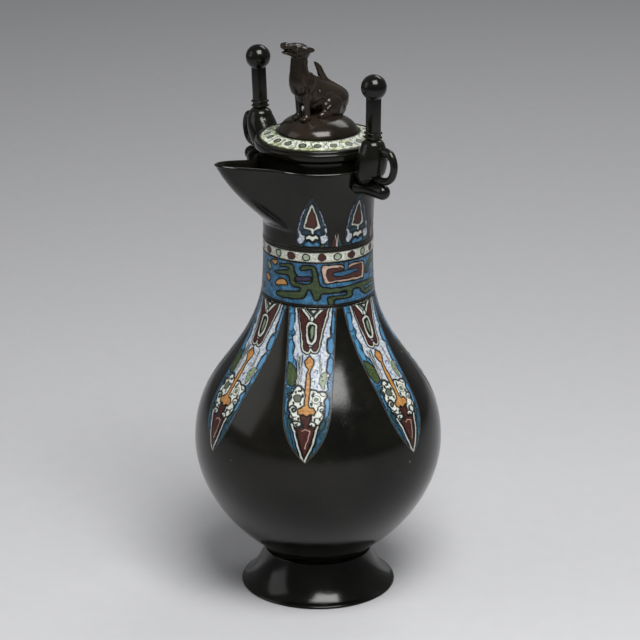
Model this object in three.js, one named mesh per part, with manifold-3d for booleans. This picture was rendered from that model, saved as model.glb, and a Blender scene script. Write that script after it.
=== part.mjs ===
// A lidded bronze jug with champleve enamel: a flared foot, a round body, a banded neck and a mouth
// drawn out into a long pouring lip.  Two ball-topped posts with fixed loops stand beside the mouth,
// and a seated beast on the lid is its knob.  Millimetres, +Z up, jug axis on Z, lip towards -X.
import * as THREE from 'three'
import * as BufferGeometryUtils from 'three/addons/utils/BufferGeometryUtils.js'
import Module from 'manifold-3d'

const wasm = await Module()
wasm.setup()

// Fits
const seatGap = 0.3
const socketClearance = 0.3
const enamelDepth = 1.2
const cutOverrun = 3
const tipMarginFactor = 2

// Foot and base plate
const footRadius = 57.5
const footHeight = 28
const footLipRadius = 54.65
const footLipHeight = 3
const footTopRadius = 39.8
const footWall = 3.4
const footBendOut = 5.7
const footBendShare = 0.3
const footStandWidth = 7
const basePlateThickness = 2.2
const basePlateRecess = 1

// Body
const bodyRadius = 90.9
const bellyHeight = 115
const shoulderHeight = 228.6
const shoulderRadius = 41.2
const bodyBottomRadius = 41
const bodyWall = 3
const bodySpigotRadius = 34.5
const bodySpigotLength = 4
const bodyStep = 4.5

// The body's outline: how far each bend's control point lies out (0 to 1) and up (0 to 1) its curve
const lowerBendOut = 0.4
const lowerBendUp = 0.15
const bellyBelowShare = 0.46
const bellyAboveShare = 0.467
const shoulderBendOut = 0.243
const shoulderBendUp = 0.535

// Neck
const neckRadius = 39.7
const neckHeight = 42.1
const neckWall = 3
const neckSpigotLength = 7
const bandLedge = 1.2
const scrollBandHeight = 31
const beadBandHeight = 7.2

// Mouth and pouring lip
const mouthHeight = 58.2
const rimRadius = 51
const mouthWall = 2.6
const lipReach = 43.5
const lipRise = 10.3
const lipWidthDegrees = 14
const lipThroatExtraDegrees = 9
const lipRiseDegrees = 16.52
const lipStart = 0.18
const mouthFlarePower = 3.5
const mouthSpigotWall = 1.8

// Lid
const lidSeatDepth = 13
const lidSeatWidth = 4.8
const lidSeatThickness = 3
const lidSpigotLength = 11
const lidWall = 2.6
const lidCollarRadius = 42.4
const lidCollarTaper = 1.6
const lidStandProud = 5.2
const lidMouldingRadius = 45.4
const lidMouldingHeight = 8.9
const lidDeckRise = 4.2
const lidMouldingTopWidth = 3.6
const lidMouldingStep = 0.9
const lidMouldingSwell = [0.08, 0.35, 0.7, 1]
const domeRadius = 28.4
const domeHeight = 12.2
const domeWall = 2.6
const pinRadius = 2
const pinHeadRadius = 4.5
const pinHeadThickness = 1.6
const pinDepthInBeast = 7

// Posts beside the mouth
const postLine = 60
const postForward = 2.5
const postShaftWidth = 8.1
const postCollarWidth = 9.6
const postCollarHeight = 5
const postTenonRadius = 2.6
const postTenonLength = 6
const ballRadius = 9
const ballAboveRim = 61.5
const bossRadius = 10.8
const bossHeight = 31.6
const bossFootInsets = { near: 3, far: 7.5 }
const postLeanOutDegrees = 2
const postLeanForwardDegrees = 1.2
const loopReaches = { near: 24, far: 18.8 }
const loopTubeRadii = { near: 2.7, far: 2.3 }
const loopTopAboveMiddle = 10.2
const loopFootBelowMiddle = 11
const bracketRadius = 4.5
const bracketKnobRadius = 5
const bracketReach = 9.9
const bracketBelowRim = 12
const bracketBoreRadius = 25

// Seated beast: its height over the dome, and the number of steps that its stations count to that height
const beastHeight = 56.6
const beastStepCount = 56.6
const beastStep = beastHeight / beastStepCount

// Enamel leaves on the body and the neck, each list in degrees from the lip
const bodyLeafHalfWidth = 17.8
const bodyLeafShoulderHeight = 168
const bodyLeafArchPower = 2.6
const bodyLeafAzimuths = [-8.8, 42.2, 97.7, 151.2, 201.2, 251.2, 301.2]
const bodyLeafTipHeights = [121, 128.2, 124, 125.5, 126.5, 125, 124]
const neckLeafHalfWidth = 12
const neckLeafLength = 39
const neckLeafArchPower = 2.2
const neckLeafLift = 1.6
const neckLeafAzimuths = [42.2, 93.2, 145.2, 196.2, 248.2, 299.2]
const neckChipHalfWidth = 4.3
const neckChipLength = 14

// Facets
const around = 36

// Heights worked out from the sizes above, from the standing surface up
const bodyBase = footHeight + seatGap
const neckBase = shoulderHeight + seatGap
const neckTop = neckBase + neckHeight
const mouthBase = neckTop + seatGap
const rimHeight = mouthBase + mouthHeight
const seatTop = rimHeight - lidSeatDepth
const lidCollarBase = seatTop + seatGap
const lidMouldingBase = rimHeight + lidStandProud
const lidMouldingTop = lidMouldingBase + lidMouldingHeight
const lidDeckTop = lidMouldingTop + lidDeckRise
const domeBase = lidDeckTop + seatGap
const domeTop = domeBase + domeHeight
const ballCentre = rimHeight + ballAboveRim
const bossBase = rimHeight - bracketBelowRim + bracketRadius + seatGap
const bossTop = bossBase + bossHeight

const radians = THREE.MathUtils.degToRad
const degrees = THREE.MathUtils.radToDeg
const halfTurn = degrees(Math.PI)
const profilePoint = (radius, height) => new THREE.Vector2(radius, height)

// The lip points along -X; azimuths are counted from it, anticlockwise seen from above
const azimuthFromLip = (azimuth) => Math.PI + radians(azimuth)

// Geometry helpers

function triangleVolume(a, b, c) {
  return a.dot(new THREE.Vector3().crossVectors(b, c)) / 6
}

function closedBody(source) {
  const bare = new THREE.BufferGeometry()
  bare.setAttribute('position', source.getAttribute('position').clone())
  bare.setIndex(source.index)
  const merged = BufferGeometryUtils.mergeVertices(bare, 1e-4)
  const position = merged.getAttribute('position')
  const corner = (i) => new THREE.Vector3().fromBufferAttribute(position, i)
  const kept = []
  let volume = 0
  for (let i = 0; i < merged.index.count; i += 3) {
    const [a, b, c] = [0, 1, 2].map((k) => merged.index.getX(i + k))
    if (a === b || b === c || c === a) continue
    volume += triangleVolume(corner(a), corner(b), corner(c))
    kept.push([a, b, c])
  }
  const facing = volume < 0 ? kept.map(([a, b, c]) => [a, c, b]) : kept
  merged.setIndex(facing.flat())
  return merged
}

function toSolid(geometry) {
  const closed = closedBody(geometry)
  const mesh = new wasm.Mesh({
    numProp: 3,
    vertProperties: new Float32Array(closed.getAttribute('position').array),
    triVerts: new Uint32Array(closed.index.array)
  })
  return new wasm.Manifold(mesh)
}

function toGeometry(solid) {
  const mesh = solid.getMesh()
  const geometry = new THREE.BufferGeometry()
  geometry.setAttribute('position', new THREE.BufferAttribute(new Float32Array(mesh.vertProperties), 3))
  geometry.setIndex(Array.from(mesh.triVerts))
  return geometry
}

const joined = (geometries) => toGeometry(geometries.map(toSolid).reduce((all, next) => all.add(next)))
const cutAway = (geometry, cutters) =>
  toGeometry(cutters.map(toSolid).reduce((left, cutter) => left.subtract(cutter), toSolid(geometry)))

// Turns a closed outline of (radius, height) points into a ring or a disc about Z
function turned(outline, segments = around) {
  const onAxis = outline[0].x === 0 && outline[outline.length - 1].x === 0
  const profile = onAxis ? outline : [...outline, outline[0]]
  return closedBody(new THREE.LatheGeometry(profile, segments).rotateX(Math.PI / 2))
}

// A ring whose closed section changes with azimuth, given as a list of points at each azimuth
function sectionRing(sections) {
  const rings = sections.length
  const steps = sections[0].length
  const index = []
  for (let i = 0; i < rings; i++) {
    for (let j = 0; j < steps; j++) {
      const a = i * steps + j
      const b = i * steps + ((j + 1) % steps)
      const c = ((i + 1) % rings) * steps + j
      const d = ((i + 1) % rings) * steps + ((j + 1) % steps)
      index.push(a, b, c, b, d, c)
    }
  }
  const geometry = new THREE.BufferGeometry().setFromPoints(sections.flat())
  geometry.setIndex(index)
  return closedBody(geometry)
}

// A thin plate over a curved surface: place(along, across, side) gives its points, side 0 or 1
function curvedPlate(place, rows, columns) {
  const points = []
  const index = []
  const at = (row, column, side) => (side * (rows + 1) + row) * (columns + 1) + column
  for (const side of [0, 1]) {
    for (let row = 0; row <= rows; row++) {
      for (let column = 0; column <= columns; column++) {
        points.push(place(row / rows, (2 * column) / columns - 1, side))
      }
    }
  }
  const quad = (a, b, c, d) => index.push(a, b, c, a, c, d)
  for (let row = 0; row < rows; row++) {
    for (let column = 0; column < columns; column++) {
      quad(at(row, column, 1), at(row, column + 1, 1), at(row + 1, column + 1, 1), at(row + 1, column, 1))
      quad(at(row, column, 0), at(row + 1, column, 0), at(row + 1, column + 1, 0), at(row, column + 1, 0))
    }
    quad(at(row, 0, 0), at(row, 0, 1), at(row + 1, 0, 1), at(row + 1, 0, 0))
    quad(at(row, columns, 1), at(row, columns, 0), at(row + 1, columns, 0), at(row + 1, columns, 1))
  }
  for (let column = 0; column < columns; column++) {
    quad(at(0, column, 0), at(0, column + 1, 0), at(0, column + 1, 1), at(0, column, 1))
    quad(at(rows, column, 1), at(rows, column + 1, 1), at(rows, column + 1, 0), at(rows, column, 0))
  }
  const geometry = new THREE.BufferGeometry().setFromPoints(points)
  geometry.setIndex(index)
  return closedBody(geometry)
}

// A limb: oval rings square to a smooth route through the stations, with rounded ends
// Each station is [x, y, z, half width sideways, half height]
const limbEndAngle = 0.6
function limb(stations, rings = 7, sides = 10) {
  const route = new THREE.CatmullRomCurve3(stations.map(([x, y, z]) => new THREE.Vector3(x, y, z)))
  const size = (t, k) => {
    const place = t * (stations.length - 1)
    const first = Math.min(Math.floor(place), stations.length - 2)
    return THREE.MathUtils.lerp(stations[first][k], stations[first + 1][k], place - first)
  }
  const sideways = new THREE.Vector3()
  const upwards = new THREE.Vector3()
  const points = [route.getPoint(0)]
  for (let i = 0; i <= rings; i++) {
    const t = i / rings
    const tangent = route.getTangent(t)
    const reference = Math.abs(tangent.y) > 0.8 ? new THREE.Vector3(1, 0, 0) : new THREE.Vector3(0, 1, 0)
    upwards.crossVectors(tangent, reference).normalize()
    sideways.crossVectors(upwards, tangent).normalize()
    const rounding = Math.sin(Math.min(Math.PI / 2, limbEndAngle + 2 * Math.PI * Math.min(t, 1 - t)))
    for (let j = 0; j < sides; j++) {
      const angle = (2 * Math.PI * j) / sides
      const offset = sideways.clone().multiplyScalar(Math.cos(angle) * size(t, 3) * rounding)
      offset.addScaledVector(upwards, Math.sin(angle) * size(t, 4) * rounding)
      points.push(route.getPoint(t).add(offset))
    }
  }
  points.push(route.getPoint(1))
  const index = []
  const at = (ring, side) => 1 + ring * sides + (side % sides)
  for (let j = 0; j < sides; j++) {
    index.push(0, at(0, j + 1), at(0, j))
    index.push(points.length - 1, at(rings, j), at(rings, j + 1))
    for (let i = 0; i < rings; i++) {
      index.push(at(i, j), at(i, j + 1), at(i + 1, j + 1), at(i, j), at(i + 1, j + 1), at(i + 1, j))
    }
  }
  const geometry = new THREE.BufferGeometry().setFromPoints(points)
  geometry.setIndex(index)
  return closedBody(geometry)
}

function ellipsoid(x, y, z, rx, ry, rz, widthSegments = 12, heightSegments = 8) {
  const geometry = new THREE.SphereGeometry(1, widthSegments, heightSegments)
  geometry.rotateX(Math.PI / 2)
  geometry.scale(rx, ry, rz)
  return closedBody(geometry.translate(x, y, z))
}

// Foot and base plate

const footCurve = new THREE.QuadraticBezierCurve(
  profilePoint(footLipRadius, footLipHeight),
  profilePoint(footTopRadius + footBendOut, footLipHeight + footBendShare * (footHeight - footLipHeight)),
  profilePoint(footTopRadius, footHeight)
)
const footStandInner = footRadius - footStandWidth
const basePlateTop = basePlateRecess + basePlateThickness
const footLedgeHeight = basePlateTop + seatGap
const footSocketRadius = bodySpigotRadius + socketClearance
const footSocketFloor = footHeight - bodySpigotLength - seatGap

function footGeometry() {
  const outer = footCurve.getPoints(4)
  const inner = footCurve.getPoints(3).slice(1, 3).map((p) => profilePoint(p.x - footWall, p.y + 1))
  return turned([
    profilePoint(footStandInner, 0),
    profilePoint(footRadius, 0),
    ...outer,
    profilePoint(footSocketRadius, footHeight),
    profilePoint(footSocketRadius, footSocketFloor),
    ...inner.reverse().filter((p) => p.y < footSocketFloor && p.y > footLedgeHeight),
    profilePoint(footStandInner - 2, footLedgeHeight),
    profilePoint(footStandInner, footLedgeHeight)
  ])
}

function basePlateGeometry() {
  const radius = footStandInner - seatGap
  return turned([
    profilePoint(0, basePlateRecess),
    profilePoint(radius, basePlateRecess),
    profilePoint(radius, basePlateTop),
    profilePoint(0, basePlateTop)
  ])
}

// Body, with a recess for each enamel leaf

const bodyStart = bodyBase + bodyStep
const lowerRise = bellyHeight - bodyStart
const upperRise = shoulderHeight - bellyHeight
const lowerBendRadius = bodyBottomRadius + lowerBendOut * (bodyRadius - bodyBottomRadius)
const shoulderBendRadius = shoulderRadius + shoulderBendOut * (bodyRadius - shoulderRadius)
const lowerBodyCurve = new THREE.CubicBezierCurve(
  profilePoint(bodyBottomRadius, bodyStart),
  profilePoint(lowerBendRadius, bodyStart + lowerBendUp * lowerRise),
  profilePoint(bodyRadius, bellyHeight - bellyBelowShare * lowerRise),
  profilePoint(bodyRadius, bellyHeight)
)
const upperBodyCurve = new THREE.CubicBezierCurve(
  profilePoint(bodyRadius, bellyHeight),
  profilePoint(bodyRadius, bellyHeight + bellyAboveShare * upperRise),
  profilePoint(shoulderBendRadius, bellyHeight + shoulderBendUp * upperRise),
  profilePoint(shoulderRadius, shoulderHeight)
)

function insetPoint(curve, t, depth) {
  const tangent = curve.getTangent(t)
  return curve.getPoint(t).add(profilePoint(-tangent.y, tangent.x).multiplyScalar(depth))
}

// Steps that cluster where the outline bends most
const upperSteps = [0, 0.14, 0.27, 0.4, 0.53, 0.66, 0.82, 1]
const lowerSteps = [0, 0.18, 0.36, 0.54, 0.76, 1]

function bodyShell() {
  const lowerOuter = lowerSteps.slice(0, -1).map((t) => lowerBodyCurve.getPoint(t))
  const upperOuter = upperSteps.map((t) => upperBodyCurve.getPoint(t))
  const lowerInner = lowerSteps.slice(1, -1).map((t) => insetPoint(lowerBodyCurve, t, bodyWall))
  const innerSteps = upperSteps.slice(0, -1).filter((t, i) => i % 2 === 0)
  const upperInner = innerSteps.map((t) => insetPoint(upperBodyCurve, t, bodyWall))
  return turned([
    profilePoint(0, bodyBase - bodySpigotLength),
    profilePoint(bodySpigotRadius, bodyBase - bodySpigotLength),
    profilePoint(bodySpigotRadius, bodyBase),
    profilePoint(footTopRadius - seatGap, bodyBase),
    ...lowerOuter,
    ...upperOuter,
    profilePoint(shoulderRadius - bodyWall, shoulderHeight),
    ...[...lowerInner, ...upperInner].reverse(),
    profilePoint(0, bodyStart + bodyWall)
  ])
}

// Finds where the shoulder outline stands at a height
function upperCurveAt(height) {
  let low = 0
  let high = 1
  for (let i = 0; i < 30; i++) {
    const middle = (low + high) / 2
    if (upperBodyCurve.getPoint(middle).y < height) low = middle
    else high = middle
  }
  return (low + high) / 2
}

function bodyLeafHalfWidthAt(height, tipHeight) {
  const x = (bodyLeafShoulderHeight - height) / (bodyLeafShoulderHeight - tipHeight)
  return bodyLeafHalfWidth * (x <= 0 ? 1 : Math.max(0, 1 - x ** bodyLeafArchPower))
}

const bodyLeafTop = shoulderHeight - seatGap
const bodyLeafRows = 9

// A leaf lying on the body: its margin is grown outwards for the recess that holds it
function bodyLeaf(number, outside, inside, margin, topOverrun) {
  const tipHeight = bodyLeafTipHeights[number]
  const tip = upperCurveAt(tipHeight)
  const top = upperCurveAt(bodyLeafTop)
  const beyondTip = upperCurveAt(tipHeight - margin * tipMarginFactor)
  const rows = bodyLeafRows + (topOverrun > 0 ? 1 : 0)
  return curvedPlate((along, across, side) => {
    const row = Math.round(along * rows)
    const t = row === 0 ? beyondTip : THREE.MathUtils.lerp(tip, top, Math.min(1, row / bodyLeafRows))
    const surface = upperBodyCurve.getPoint(t)
    const halfWidth = bodyLeafHalfWidthAt(surface.y, tipHeight) + margin
    const angle = azimuthFromLip(bodyLeafAzimuths[number]) + (across * halfWidth) / surface.x
    const place = insetPoint(upperBodyCurve, t, side ? outside : inside)
    const lift = row > bodyLeafRows ? topOverrun : 0
    return new THREE.Vector3(place.x * Math.cos(angle), place.x * Math.sin(angle), place.y + lift)
  }, rows, 4)
}

function bodyGeometry() {
  const recesses = bodyLeafAzimuths.map((azimuth, i) =>
    bodyLeaf(i, -cutOverrun, enamelDepth, seatGap, cutOverrun))
  return cutAway(bodyShell(), recesses)
}

const bodyLeafGeometry = (number) => bodyLeaf(number, 0, enamelDepth - seatGap, 0, 0)

// Neck, with a recess for each enamel band

const neckSpigotRadius = shoulderRadius - bodyWall - socketClearance
const neckBore = neckRadius - neckWall

function neckOuterRadius(height) {
  const x = THREE.MathUtils.clamp((height - neckBase) / neckHeight, 0, 1)
  return neckRadius + (shoulderRadius - neckRadius) * (1 - x) ** 3
}

const scrollBandBase = neckBase + bandLedge
const scrollBandTop = scrollBandBase + scrollBandHeight
const beadBandBase = scrollBandTop + bandLedge / 2
const beadBandTop = beadBandBase + beadBandHeight
const onNeck = (height, depth = 0) => profilePoint(neckOuterRadius(height) - depth, height)
const bandHeights = (low, high) => [low, (low + high) / 2, high]

function neckGeometry() {
  const scrollFloor = bandHeights(scrollBandBase, scrollBandTop).map((h) => onNeck(h, enamelDepth))
  const beadFloor = [beadBandBase, beadBandTop].map((h) => onNeck(h, enamelDepth))
  return turned([
    profilePoint(neckBore, neckBase - neckSpigotLength),
    profilePoint(neckSpigotRadius, neckBase - neckSpigotLength),
    profilePoint(neckSpigotRadius, neckBase),
    onNeck(neckBase),
    onNeck(scrollBandBase),
    ...scrollFloor,
    onNeck(scrollBandTop),
    onNeck(beadBandBase),
    ...beadFloor,
    onNeck(beadBandTop),
    onNeck(neckTop),
    profilePoint(neckBore, neckTop)
  ])
}

function bandGeometry(low, high) {
  const flares = neckOuterRadius(low) - neckOuterRadius(high) > seatGap / 3
  const heights = bandHeights(low + seatGap, high - seatGap).filter((h, i) => flares || i !== 1)
  const outer = heights.map((h) => onNeck(h))
  const inner = heights.map((h) => onNeck(h, enamelDepth - seatGap))
  return turned([...outer, ...inner.reverse()])
}

// Mouth and pouring lip

const mouthSpigotRadius = neckBore - socketClearance

// How far the lip stands out of the round mouth, from the neck joint (rise 0) to the rim (rise 1)
function lipBulge(rise, fromLip) {
  const x = Math.max(0, (rise - lipStart) / (1 - lipStart))
  const width = lipWidthDegrees + lipThroatExtraDegrees * (1 - rise)
  return lipReach * Math.sin((Math.PI / 2) * x) * Math.exp(-((fromLip / width) ** 2))
}

function mouthRadius(rise, fromLip) {
  return neckRadius + (rimRadius - neckRadius) * rise ** mouthFlarePower + lipBulge(rise, fromLip)
}

// A point of the mouth wall, a depth inside its outer face, measured level and square to the wall
function mouthPoint(rise, azimuth, depth = 0, lift = 0) {
  const fromLip = THREE.MathUtils.euclideanModulo(azimuth + halfTurn, 2 * halfTurn) - halfTurn
  const radius = mouthRadius(rise, fromLip)
  const step = 0.25
  const change = (mouthRadius(rise, fromLip + step) - mouthRadius(rise, fromLip - step)) / radians(2 * step)
  const length = Math.hypot(radius, change)
  const angle = azimuthFromLip(azimuth)
  const [c, s] = [Math.cos(angle), Math.sin(angle)]
  const height = mouthBase + rise * (mouthHeight + lipRise * Math.exp(-((fromLip / lipRiseDegrees) ** 2)))
  return new THREE.Vector3(
    radius * c - (depth * (radius * c + change * s)) / length,
    radius * s - (depth * (radius * s - change * c)) / length,
    height + lift
  )
}

// Azimuths that crowd together over the lip
function mouthAzimuths() {
  const lipSpan = 36
  const fine = 4
  const azimuths = []
  for (let a = -lipSpan; a < lipSpan; a += fine) azimuths.push(a)
  const coarse = 28
  for (let i = 0; i < coarse; i++) azimuths.push(lipSpan + (i * 2 * (halfTurn - lipSpan)) / coarse)
  return azimuths
}

const mouthRises = [0, 0.18, 0.3, 0.44, 0.6, 0.76, 0.9, 0.99]

function mouthShell() {
  const spigotBore = mouthSpigotRadius - mouthSpigotWall
  const innerRises = mouthRises.filter((rise, i) => i > 1 && i % 2 === 1)
  return sectionRing(mouthAzimuths().map((azimuth) => {
    const angle = azimuthFromLip(azimuth)
    const [c, s] = [Math.cos(angle), Math.sin(angle)]
    const level = (radius, height) => new THREE.Vector3(radius * c, radius * s, height)
    const outer = mouthRises.map((rise) => mouthPoint(rise, azimuth))
    const inner = innerRises.map((rise) => mouthPoint(rise, azimuth, mouthWall))
    return [
      level(mouthSpigotRadius, mouthBase),
      ...outer,
      mouthPoint(1, azimuth, mouthWall * 0.3),
      mouthPoint(1, azimuth, mouthWall * 0.7),
      ...inner.reverse(),
      level(spigotBore, mouthBase),
      level(spigotBore, mouthBase - neckSpigotLength),
      level(mouthSpigotRadius, mouthBase - neckSpigotLength)
    ]
  }))
}

// A leaf standing on the neck joint, pointing up
function standingLeaf(azimuth, shape, outside, inside, margin) {
  const endLift = (along) => (along === 0 ? -margin : 0) + (along === 1 ? margin * tipMarginFactor : 0)
  return curvedPlate((along, across, side) => {
    const rise = (neckLeafLift + shape.length * along + endLift(along)) / mouthHeight
    const halfWidth = shape.halfWidth * (1 - along ** shape.power) + margin
    const sideways = degrees((across * halfWidth) / neckRadius)
    return mouthPoint(rise, azimuth + sideways, side ? outside : inside)
  }, 5, 4)
}

// Six leaves round the neck, and a small straight-sided chip between each two
const neckLeafShape = { halfWidth: neckLeafHalfWidth, length: neckLeafLength, power: neckLeafArchPower }
const neckChipShape = { halfWidth: neckChipHalfWidth, length: neckChipLength, power: 1 }
const neckChipAzimuths = neckLeafAzimuths.slice(1).map((azimuth, i) => (azimuth + neckLeafAzimuths[i]) / 2)

function mouthGeometry() {
  const recess = (azimuth, shape) => standingLeaf(azimuth, shape, -cutOverrun, enamelDepth, seatGap)
  return cutAway(mouthShell(), [
    ...neckLeafAzimuths.map((azimuth) => recess(azimuth, neckLeafShape)),
    ...neckChipAzimuths.map((azimuth) => recess(azimuth, neckChipShape))
  ])
}

const standingLeafGeometry = (azimuth, shape) => standingLeaf(azimuth, shape, 0, enamelDepth - seatGap, 0)

// Lid seat: a ring let into the mouth, which carries the lid's collar

const seatRise = (seatTop - lidSeatThickness - mouthBase) / mouthHeight
const seatOuterRadius = (mouthRadius(seatRise, halfTurn) - mouthWall) * Math.cos(Math.PI / around) - seatGap
const seatInnerRadius = seatOuterRadius - lidSeatWidth

function lidSeatGeometry() {
  return turned([
    profilePoint(seatInnerRadius, seatTop - lidSeatThickness),
    profilePoint(seatOuterRadius, seatTop - lidSeatThickness),
    profilePoint(seatOuterRadius, seatTop),
    profilePoint(seatInnerRadius, seatTop)
  ])
}

// Lid, turned in one piece, with a sunk ring for the enamel and a hole for the knob's pin

const lidSpigotRadius = seatInnerRadius - 2 * socketClearance
const pinHoleRadius = pinRadius + socketClearance
const lidRingOuter = lidMouldingRadius - lidMouldingTopWidth
const lidRingInner = domeRadius + bandLedge
const deckSlope = lidDeckRise / (lidRingOuter - lidRingInner)
const lidInnerTop = lidDeckTop - lidWall - enamelDepth
const onDeck = (radius, depth = 0) =>
  profilePoint(radius, lidMouldingTop + Math.min(lidDeckRise, (lidRingOuter - radius) * deckSlope) - depth)

function lidGeometry() {
  const swell = lidMouldingSwell.map((share) => lidMouldingBase + share * lidMouldingHeight)
  return turned([
    profilePoint(lidSpigotRadius - lidWall, lidCollarBase - lidSpigotLength),
    profilePoint(lidSpigotRadius, lidCollarBase - lidSpigotLength),
    profilePoint(lidSpigotRadius, lidCollarBase),
    profilePoint(lidCollarRadius - lidCollarTaper, lidCollarBase),
    profilePoint(lidCollarRadius, rimHeight),
    profilePoint(lidCollarRadius, lidMouldingBase),
    profilePoint(lidMouldingRadius - lidMouldingStep, swell[0]),
    profilePoint(lidMouldingRadius, swell[1]),
    profilePoint(lidMouldingRadius, swell[2]),
    profilePoint(lidMouldingRadius - lidMouldingStep, swell[3]),
    onDeck(lidRingOuter),
    onDeck(lidRingOuter, enamelDepth),
    onDeck(lidRingInner, enamelDepth),
    onDeck(lidRingInner),
    profilePoint(pinHoleRadius, lidDeckTop),
    profilePoint(pinHoleRadius, lidInnerTop),
    profilePoint(lidRingInner - lidWall, lidInnerTop),
    profilePoint(lidSpigotRadius - lidWall, lidMouldingBase)
  ])
}

function lidEnamelGeometry() {
  const outer = lidRingOuter - seatGap
  const inner = lidRingInner + seatGap
  const floor = enamelDepth - seatGap
  return turned([onDeck(outer, floor), onDeck(outer), onDeck(inner), onDeck(inner, floor)])
}

// Dome on the lid, a hollow cap with a hole for the knob's pin

const domeCurve = new THREE.CubicBezierCurve(
  profilePoint(domeRadius, 0),
  profilePoint(domeRadius - 1.6, 0.62 * domeHeight),
  profilePoint(0.55 * domeRadius, domeHeight),
  profilePoint(0, domeHeight)
)
const domeSteps = [0, 0.2, 0.42, 0.68]
const onDome = (t, grow = 0) => insetPoint(domeCurve, t, -grow).add(profilePoint(0, domeBase))

function domeGeometry() {
  const outer = domeSteps.map((t) => onDome(t))
  const inner = domeSteps.map((t) => onDome(t, -domeWall)).filter((p) => p.y > domeBase + seatGap)
  return turned([
    ...outer,
    profilePoint(pinHoleRadius, domeTop),
    profilePoint(pinHoleRadius, domeTop - domeWall),
    ...inner.reverse(),
    profilePoint(domeRadius - domeWall, domeBase)
  ])
}

function finialPinGeometry() {
  const head = lidInnerTop - seatGap
  const tip = domeTop + pinDepthInBeast
  return turned([
    profilePoint(0, head - pinHeadThickness),
    profilePoint(pinHeadRadius, head - pinHeadThickness),
    profilePoint(pinHeadRadius, head),
    profilePoint(pinRadius, head),
    profilePoint(pinRadius, tip),
    profilePoint(0, tip)
  ], 12)
}

// Seated beast, head raised towards the lip; places are counted in steps from the top of the dome
// Each station is [forward, sideways, up, half width, half height]

function fromDome(forward, side, up, ...sizes) {
  const [x, y, z, ...scaled] = [-forward, side, up, ...sizes].map((value) => value * beastStep)
  return [x, y, domeTop + z, ...scaled]
}

const beastLimb = (stations, rings, sides) => limb(stations.map((s) => fromDome(...s)), rings, sides)
const beastRound = (...station) => ellipsoid(...fromDome(...station), 8, 6)

function beastPair(make) {
  return [make(1), make(-1)]
}

function beastGeometry() {
  const torso = beastLimb([
    [-28, 0, 5.5, 3.5, 4], [-20, 0, 7.5, 8, 9.5], [-10, 0, 10, 9.8, 12.5], [2, 0, 14, 9.2, 12],
    [10.5, 0, 18, 8, 11.5], [17, 0, 22, 6.3, 8]
  ])
  const hips = beastRound(-12, 0, 2, 13, 9.5, 9)
  const throat = beastLimb([
    [14.5, 0, 17, 7, 7], [17.4, 0, 25, 7.6, 8.1], [17.8, 0, 33, 7, 7.8], [17.3, 0, 43, 6.4, 7]
  ], 6)
  const head = beastLimb([
    [9, 0, 44.5, 4.5, 3.5], [15, 0, 46.5, 7, 6.5], [22, 0, 48.8, 6.6, 5.8], [28, 0, 51, 5, 4.4]
  ], 5, 8)
  const upperJaw = beastLimb([[22, 0, 50, 5, 4], [29, 0, 53, 4.4, 3.2], [36, 0, 51.8, 3.4, 1.7]], 4, 8)
  const lowerJaw = beastLimb([
    [22, 0, 46.6, 4.6, 3], [28.5, 0, 47.4, 3.8, 1.9], [32.6, 0, 48.2, 2.6, 1.2]
  ], 4, 8)
  const nose = beastRound(31, 0, 54.6, 3, 3, 2)
  const tail = beastLimb([
    [-27.5, 0, 5, 2.4, 3], [-24, 0, 10, 2.4, 3.6], [-15, 0, 16.5, 2.2, 3.4], [-7, 0, 22.5, 2, 3.4],
    [-2.6, 0, 28.5, 1.7, 2.4], [1, 0, 34, 1.2, 1.4], [4.2, 0, 38.6, 0.5, 0.6]
  ], 9, 6)
  const ears = beastPair((side) => beastLimb([
    [21, side * 3.4, 50.4, 2, 2.6], [16, side * 6.4, 49, 1.9, 2.6], [10.8, side * 7, 46.4, 0.6, 0.9]
  ], 4, 6))
  const foreLegs = beastPair((side) => beastLimb([
    [13.5, side * 4.6, 20, 3.2, 4.4], [14.6, side * 4.5, 10, 2, 2.3], [13.6, side * 4.4, 0, 2, 2.2]
  ], 5, 7))
  const forePaws = beastPair((side) => beastRound(14.8, side * 4.5, -0.6, 3.8, 2.7, 2.9))
  const haunches = beastPair((side) => beastRound(-7, side * 7.6, 4.5, 9.5, 4.2, 9))
  const hindPaws = beastPair((side) => beastRound(1.5, side * 9, -0.6, 4.6, 2.6, 3))
  const whole = joined([
    torso, hips, throat, head, upperJaw, lowerJaw, nose, tail,
    ...ears, ...foreLegs, ...forePaws, ...haunches, ...hindPaws
  ])
  return cutAway(whole, [domeClearance(), pinClearance()])
}

// What the beast's underside leaves free: the dome with its seat gap, and the space beside it
function domeClearance() {
  return turned([
    profilePoint(0, domeBase - cutOverrun),
    profilePoint(domeRadius + cutOverrun, domeBase - cutOverrun),
    profilePoint(domeRadius + cutOverrun, domeBase),
    ...domeSteps.map((t) => onDome(t, seatGap)),
    profilePoint(0, domeTop + seatGap)
  ])
}

function pinClearance() {
  const radius = pinRadius + socketClearance
  const tip = domeTop + pinDepthInBeast + seatGap
  return turned([
    profilePoint(0, domeBase),
    profilePoint(radius, domeBase),
    profilePoint(radius, tip),
    profilePoint(0, tip)
  ], 12)
}

// Posts: built upright at the origin of their own group, outwards along +X and forward along +Y

const bossMiddle = bossHeight * 0.46
const socketDepth = postTenonLength + seatGap

// The outer face of the mouth, grown by the seat gap, in the jug's own frame
function mouthClearance() {
  const reach = seatGap * 4 / 3
  const centre = neckBore / 2
  return sectionRing(mouthAzimuths().map((azimuth) => {
    const outer = mouthRises.map((rise) => mouthPoint(rise, azimuth, -reach))
    const angle = azimuthFromLip(azimuth)
    const inside = (height) => new THREE.Vector3(centre * Math.cos(angle), centre * Math.sin(angle), height)
    return [inside(mouthBase), ...outer, mouthPoint(1, azimuth, -reach, reach), inside(rimHeight + reach)]
  }))
}

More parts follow.
